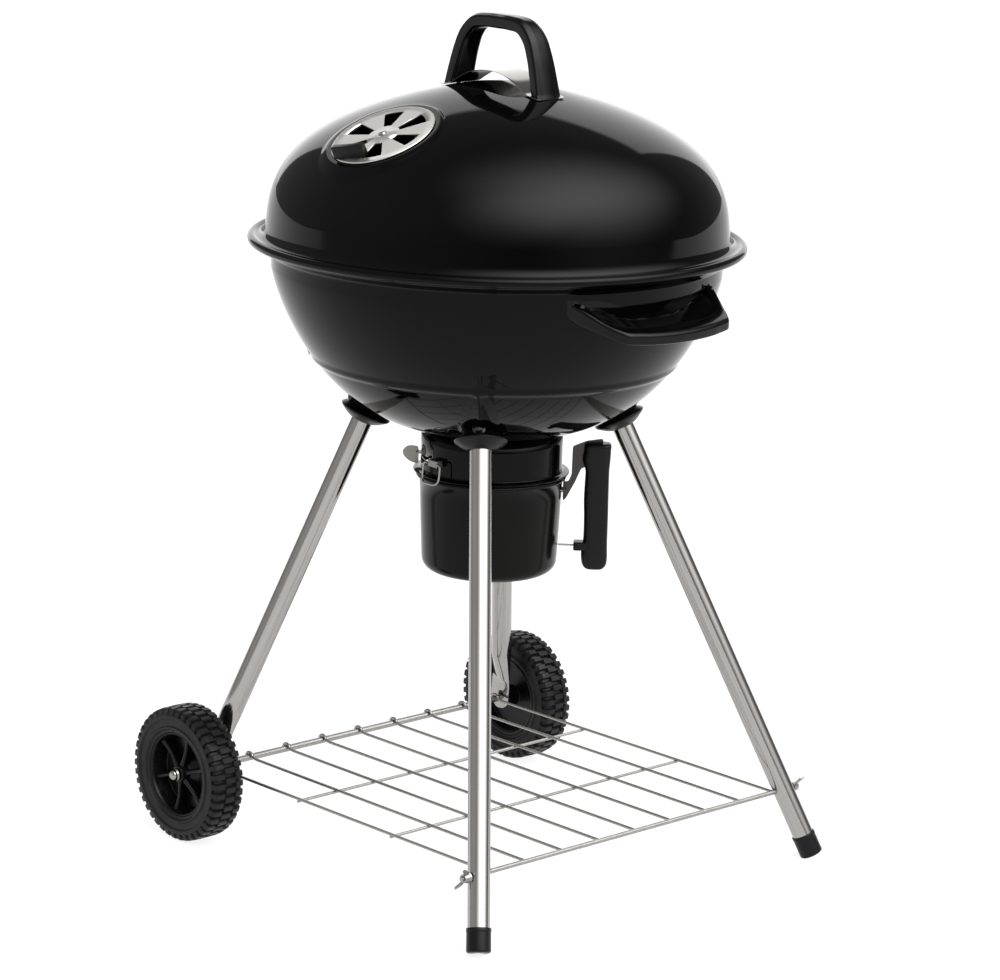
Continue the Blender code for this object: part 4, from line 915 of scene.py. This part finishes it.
# Each grate: its radius, its height, its wires' spacing and their radius.
GRATES = (("cooking_grate", 0.249, 0.700, 0.018, 0.0018), ("charcoal_grate", 0.184, 0.568, 0.020, 0.0024))


def grate_surfaces(radius, z, spacing, wire_r, ring_r):
    """A grate: parallel wires a spacing apart, cut to the chord of a round frame, on two wires beneath."""
    a = np.arange(96) * TAU / 96
    frame_line = np.stack([radius * np.cos(a), radius * np.sin(a), z + 0 * a], -1)
    shells = [tube(frame_line, ring_r, (0, 0, 1), 12, True)]
    count = int((radius - spacing / 2) / spacing)
    for y in spacing * np.arange(-count, count + 1):
        half = math.sqrt(radius ** 2 - y ** 2)
        shells.append(tube([(-half, y, z), (0, y, z), (half, y, z)], wire_r, (0, 1, 0), 12))
    for x in (-radius / 2, radius / 2):
        half, under = math.sqrt(radius ** 2 - x ** 2), z - 1.4 * wire_r
        shells.append(tube([(x, -half, under), (x, 0, under), (x, half, under)], wire_r, (1, 0, 0), 12))
    return shells


# ---- the add-on's settings ----
def strength(name, text, value):
    """A light's strength as a setting."""
    return FloatProperty(name=name, description="Strength of " + text, default=value, min=0.0, soft_max=10.0)


def thickness(name, text, value):
    """A sheet's thickness as a setting."""
    return FloatProperty(name=name, description="Thickness of " + text, default=value, unit="LENGTH")


class GrillLight(bpy.types.PropertyGroup):
    main: strength("Main light", "the wide soft light at the right", 7.0)
    front: strength("Front light", "the soft light above the camera", 1.4)
    left: strength("Left light", "the wide weak light at the left", 0.4)
    screen: strength("Screen", "the white screen behind the grill", 1.5)
    fill: strength("Fill", "the light from all round", 0.2)
    glow: strength("Floor glow", "the light that the floor gives off", 0.86)
    lens: FloatProperty(name="Lens", description="Focal length of the camera", default=134.05, unit="CAMERA")
    floor: FloatVectorProperty(name="Floor", description="Colour of the floor", default=linear("#6e6e6e"),
                               subtype="COLOR", size=3, min=0.0, max=1.0)


class GrillSizes(bpy.types.PropertyGroup):
    sheet: thickness("Sheet", "the enamelled steel", SHEET)
    damper: thickness("Damper", "the vent's damper", 0.0010)
    collar: thickness("Collar", "the ash collar", 0.0012)
    wires: IntProperty(name="Grate frame", default=30, min=10, max=60,
                       description="Radius of a grate's frame wire in tenths of a millimetre")


# ---- operators ----
class GRILL_OT_lid(bpy.types.Operator):
    """Builds the lid, its rolled edge and the stamped seat of the vent"""
    bl_idname = "grill.lid"
    bl_label = "Lid"

    def execute(self, context):
        make("lid_shell", [lid_surface()], "enamel", "lid", ["lid"],
             wall=context.scene.grill_sizes.sheet, solid=False, crease=60)
        return {"FINISHED"}


class GRILL_OT_vent(bpy.types.Operator):
    """Builds the vent's damper disc, its tab and its rivet"""
    bl_idname = "grill.vent"
    bl_label = "Vent"

    def execute(self, context):
        make("vent_disc", [damper_surface()], "damper", "vent", ["vent_damper"],
             wall=context.scene.grill_sizes.damper, solid=False, crease=30)
        make("vent_tab", [tab_surface()], "satin", "vent", ["damper_tab"])
        top = SEAT_Z + 0.0028
        head = [(0.0, top + 0.0026)] + arc(0.0, top - 0.0016, 0.0042, 80, 30, 6).tolist() \
            + [(0.0048, top), (0.0028, top), (0.0028, SEAT_Z - 0.0066), (0.0, SEAT_Z - 0.0066)]
        make("vent_rivet_head", [turned(head, VENT_MATRIX, 32)], "polish", "lid",
             ["vent_rivet"])
        return {"FINISHED"}


class GRILL_OT_lid_handle(bpy.types.Operator):
    """Builds the lid's handle and its polished heat shield"""
    bl_idname = "grill.lid_handle"
    bl_label = "Lid handle"

    def execute(self, context):
        make("lid_handle_arch", [handle_surface()], "gloss", "lid", ["lid_handle"],
             crease=50)
        make("lid_heat_shield_strip", [shield_surface()], "polish", "lid",
             ["lid_heat_shield"], crease=50)
        dress("plated", "lid_handle_screw_1", "lid_handle_screw_2")
        return {"FINISHED"}


class GRILL_OT_bowl(bpy.types.Operator):
    """Builds the bowl with its rolled edge, stamped pads and ash openings"""
    bl_idname = "grill.bowl"
    bl_label = "Bowl"

    def execute(self, context):
        make("bowl_shell", [bowl_surface()], "enamel", "kettle", ["bowl"],
             wall=context.scene.grill_sizes.sheet, solid=False, crease=60)
        dress("plated", *(f"grate_support_{i}" for i in range(1, 5)))
        return {"FINISHED"}


class GRILL_OT_side_handle(bpy.types.Operator):
    """Builds the side handle and finishes its screws"""
    bl_idname = "grill.side_handle"
    bl_label = "Side handle"

    def execute(self, context):
        make("side_handle_scoop", side_handle_surfaces(), "gloss", "kettle",
             ["side_handle"], crease=50)
        dress("oxide", "side_handle_screw_1", "side_handle_screw_2")
        return {"FINISHED"}


class GRILL_OT_legs(bpy.types.Operator):
    """Builds the four legs with their sockets, bolts and caps"""
    bl_idname = "grill.legs"
    bl_label = "Legs"

    def execute(self, context):
        for name, x_side, y_side in LEGS:
            top, end, up, out = leg_frame(x_side, y_side)
            tube_shell = capped_leg(top, end, up) if x_side > 0 else wheel_leg(top, end, y_side)
            make(f"leg_{name}_tube", [tube_shell], "tube", "kettle", [f"leg_{name}"])
            make(f"leg_{name}_saucer", [socket_surface(top, up)], "satin", "kettle",
                 [f"leg_socket_{name}"])
            make(f"leg_{name}_bolt", [bolt_surface(top, up, out)], "oxide", "kettle",
                 [f"socket_bolt_{name}"])
            if x_side > 0:
                make(f"leg_{name}_cap", [cap_surface(end, up)], "satin", "kettle",
                     [f"leg_cap_{name}"])
        return {"FINISHED"}


class GRILL_OT_wheels(bpy.types.Operator):
    """Builds the two wheels, the axle and its caps"""
    bl_idname = "grill.wheels"
    bl_label = "Wheels"

    def execute(self, context):
        for name, y_side in (("front", -1), ("back", 1)):
            make(f"tyre_{name}_tread", [tyre_surface(y_side)], "tyre", f"wheel_{name}",
                 [f"tyre_{name}"], crease=30)
            make(f"hub_{name}_dish", hub_surfaces(y_side), "hub", f"wheel_{name}",
                 [f"wheel_hub_{name}"])
            make(f"axle_cap_{name}_crown", [axle_cap_surface(y_side)], "polish", "kettle",
                 [f"axle_cap_{name}"])
        make("axle_rod", [axle_surface()], "wire", "kettle", ["axle"])
        return {"FINISHED"}


class GRILL_OT_shelf(bpy.types.Operator):
    """Builds the wire shelf and finishes its wing nuts"""
    bl_idname = "grill.shelf"
    bl_label = "Shelf"

    def execute(self, context):
        make("shelf_wires", shelf_surfaces(), "wire", "kettle", ["wire_shelf"])
        dress("wire", "wing_nut_front", "wing_nut_back")
        return {"FINISHED"}


class GRILL_OT_ash_catcher(bpy.types.Operator):
    """Builds the collar, the bucket with its bracket and grip, the clips and the sweeper's lever"""
    bl_idname = "grill.ash_catcher"
    bl_label = "Ash catcher"

    def execute(self, context):
        make("collar_ring", [collar_surface()], "enamel", "kettle", ["ash_collar"],
             wall=context.scene.grill_sizes.collar, solid=False)
        make("bucket_pail", [bucket_surface()], "bucket", "bucket", ["ash_bucket"], crease=60)
        make("bucket_bracket_sheet", bracket_surfaces(), "oxide", "bucket", ["bucket_bracket"],
             bevel=0.0003)
        make("bucket_grip_bar", grip_surfaces(), "satin", "bucket", ["bucket_grip"])
        link = [tuple(outwards(GRIP_ANGLE) * r + Vector((0, 0, LINK_Z))) for r in (0.0800, 0.0900, 0.1000)]
        make("bucket_link", [tube(link, CLIP_WIRE_R, (0, 0, 1), 12)], "wire", "bucket",
             ["grip_link"])
        for name, y_side in (("front", -1), ("back", 1)):
            make(f"clip_{name}_loop", [clip_surface(y_side)], "wire", f"clip_{name}",
                 [f"bucket_clip_{name}"])
        make("sweeper_lever_bar", lever_surfaces(), "plated", "sweeper", ["sweeper_lever"],
             bevel=0.0003)
        dress("plated", "sweeper_blades", "sweeper_shaft", "sweeper_nut", "bracket_rivet_1", "bracket_rivet_2",
              "clip_bracket_front", "clip_bracket_back")
        return {"FINISHED"}


class GRILL_OT_grates(bpy.types.Operator):
    """Builds the cooking grate and the charcoal grate"""
    bl_idname = "grill.grates"
    bl_label = "Grates"

    def execute(self, context):
        ring_r = context.scene.grill_sizes.wires / 10000
        for name, radius, z, spacing, wire_r in GRATES:
            make(f"{name}_wires", grate_surfaces(radius, z, spacing, wire_r, ring_r), "wire", name,
                 [name])
        return {"FINISHED"}


FLOOR_HALF = 60.0
FLOOR_DROP = 0.00005                            # the floor lies this far under the feet
CAMERA_AT = Vector((3.06868539, -2.8633628, 1.41970476))
RIGHT = Vector((0.67914891, 0.73349742, 0.02717162))
UP = Vector((-0.18695562, 0.13706834, 0.97275889))
BACK = Vector((0.70979177, -0.66572802, 0.23022128))
# Each patch of sky: its strength's setting; degrees round from the camera, up, and from its middle to its
# edge; and its power.
PATCHES = (("main", 56, 52, 60, 2.5), ("front", 8, 38, 34, 1.5), ("left", -70, 25, 80, 1.5))
SCREEN_SIDE = (0.40, 0.42)                      # how far the screen reaches to a side, as a sine
SCREEN_TOP = (0.60, 0.64)                       # how far it reaches up


class GRILL_OT_stage(bpy.types.Operator):
    """Builds the floor, the lights and the camera"""
    bl_idname = "grill.stage"
    bl_label = "Stage"

    def execute(self, context):
        light = context.scene.grill_light
        floor = bpy.data.meshes.new("floor")
        corners = FLOOR_HALF * np.array([(-1, -1, 0), (1, -1, 0), (1, 1, 0), (-1, 1, 0)]) - (0, 0, FLOOR_DROP)
        floor.from_pydata(corners, [], [(0, 1, 2, 3)])
        paint, tree, shader = finish("studio_sweep_painted", Roughness=0.9,
                                     Emission_Strength=light.glow)
        shader.inputs["Emission Color"].default_value = (1, 1, 1, 1)
        tone = add(tree, "ShaderNodeTexNoise", {"Vector": scaled(tree, "Object", (3, 3, 3)), "Scale": 1.0})
        shade = add(tree, "ShaderNodeMix", {0: tone.outputs["Fac"], 6: (*light.floor, 1),
                                            7: (*(c * 0.99 for c in light.floor), 1)}, data_type="RGBA")
        tree.links.new(shade.outputs[2], shader.inputs["Base Color"])
        floor.materials.append(paint)
        ground = bpy.data.objects.new("floor", floor)
        context.scene.collection.objects.link(ground)

        lens = bpy.data.cameras.new("camera")
        lens.lens = light.lens
        lens.sensor_width = 36.0
        lens.clip_end = 200.0
        camera = bpy.data.objects.new("camera", lens)
        camera.matrix_world = Matrix.Translation(CAMERA_AT) @ Matrix((RIGHT, UP, BACK)).transposed().to_4x4()
        context.scene.collection.objects.link(camera)
        context.scene.camera = camera

        world = bpy.data.worlds.new("studio")
        world.use_nodes = True
        self.paint_sky(world.node_tree, light)
        context.scene.world = world
        context.scene.view_settings.view_transform = "Standard"
        return {"FINISHED"}

    def paint_sky(self, tree, light):
        """Soft studio light as patches of sky. A round patch is its strength times a power of how far a ray's
        cosine to the patch's axis has come from the patch's edge; the screen behind is a rectangle."""
        ray = add(tree, "ShaderNodeTexCoord").outputs["Generated"]
        across = Vector((RIGHT.x, RIGHT.y, 0.0)).normalized()
        toward = Vector((BACK.x, BACK.y, 0.0)).normalized()

        def aimed(azimuth, elevation):
            a, e = math.radians(azimuth), math.radians(elevation)
            return (toward * math.cos(a) + across * math.sin(a)) * math.cos(e) + Vector((0, 0, math.sin(e)))

        def along(axis):
            made = add(tree, "ShaderNodeVectorMath", {0: ray, 1: axis}, operation="DOT_PRODUCT")
            return made.outputs["Value"]

        def ramp(value, start, end, low=0.0, high=1.0, kind="SMOOTHSTEP"):
            return add(tree, "ShaderNodeMapRange", {"Value": value, "From Min": start, "From Max": end,
                                                    "To Min": low, "To Max": high},
                       interpolation_type=kind).outputs["Result"]

        def math_node(kind, first, second):
            return add(tree, "ShaderNodeMath", {0: first, 1: second}, operation=kind).outputs["Value"]

        def patch(name, azimuth, elevation, edge, power):
            near = ramp(along(aimed(azimuth, elevation)), math.cos(math.radians(edge)), 1.0, kind="LINEAR")
            return math_node("MULTIPLY", math_node("POWER", near, power), getattr(light, name))

        behind = aimed(180, 0)
        side = add(tree, "ShaderNodeMath", {0: along(across)}, operation="ABSOLUTE").outputs["Value"]
        screen = math_node("MULTIPLY", ramp(side, *SCREEN_SIDE, 1.0, 0.0), ramp(along(behind), 0.0, 0.05))
        screen = math_node("MULTIPLY", screen, ramp(along(Vector((0, 0, 1))), *SCREEN_TOP, light.screen, 0.0))
        total = math_node("ADD", screen, light.fill)
        for row in PATCHES:
            total = math_node("ADD", patch(*row), total)
        sky = tree.nodes["Background"]
        sky.inputs["Color"].default_value = (1, 1, 1, 1)
        tree.links.new(total, sky.inputs["Strength"])


PIECES = (GRILL_OT_lid, GRILL_OT_vent, GRILL_OT_lid_handle, GRILL_OT_bowl, GRILL_OT_side_handle, GRILL_OT_legs,
          GRILL_OT_wheels, GRILL_OT_shelf, GRILL_OT_ash_catcher, GRILL_OT_grates, GRILL_OT_stage)


class GRILL_PT_pieces(bpy.types.Panel):
    """Lists the grill's pieces in the sidebar"""
    bl_idname = "GRILL_PT_pieces"
    bl_label = "Kettle charcoal grill"
    bl_space_type = "VIEW_3D"
    bl_region_type = "UI"
    bl_category = "Grill"

    def draw(self, context):
        for operator in PIECES:
            self.layout.operator(operator.bl_idname)
        for settings in (context.scene.grill_sizes, context.scene.grill_light):
            for name in settings.__annotations__:
                self.layout.prop(settings, name)


CLASSES = (GrillLight, GrillSizes) + PIECES + (GRILL_PT_pieces,)


def register():
    for each in CLASSES:
        bpy.utils.register_class(each)
    bpy.types.Scene.grill_light = PointerProperty(type=GrillLight)
    bpy.types.Scene.grill_sizes = PointerProperty(type=GrillSizes)


def unregister():
    del bpy.types.Scene.grill_sizes
    del bpy.types.Scene.grill_light
    for each in reversed(CLASSES):
        bpy.utils.unregister_class(each)


def main():
    register()
    for operator in PIECES:
        getattr(bpy.ops.grill, operator.bl_idname.split(".")[1])()
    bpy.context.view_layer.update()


if __name__ == "__main__":
    main()
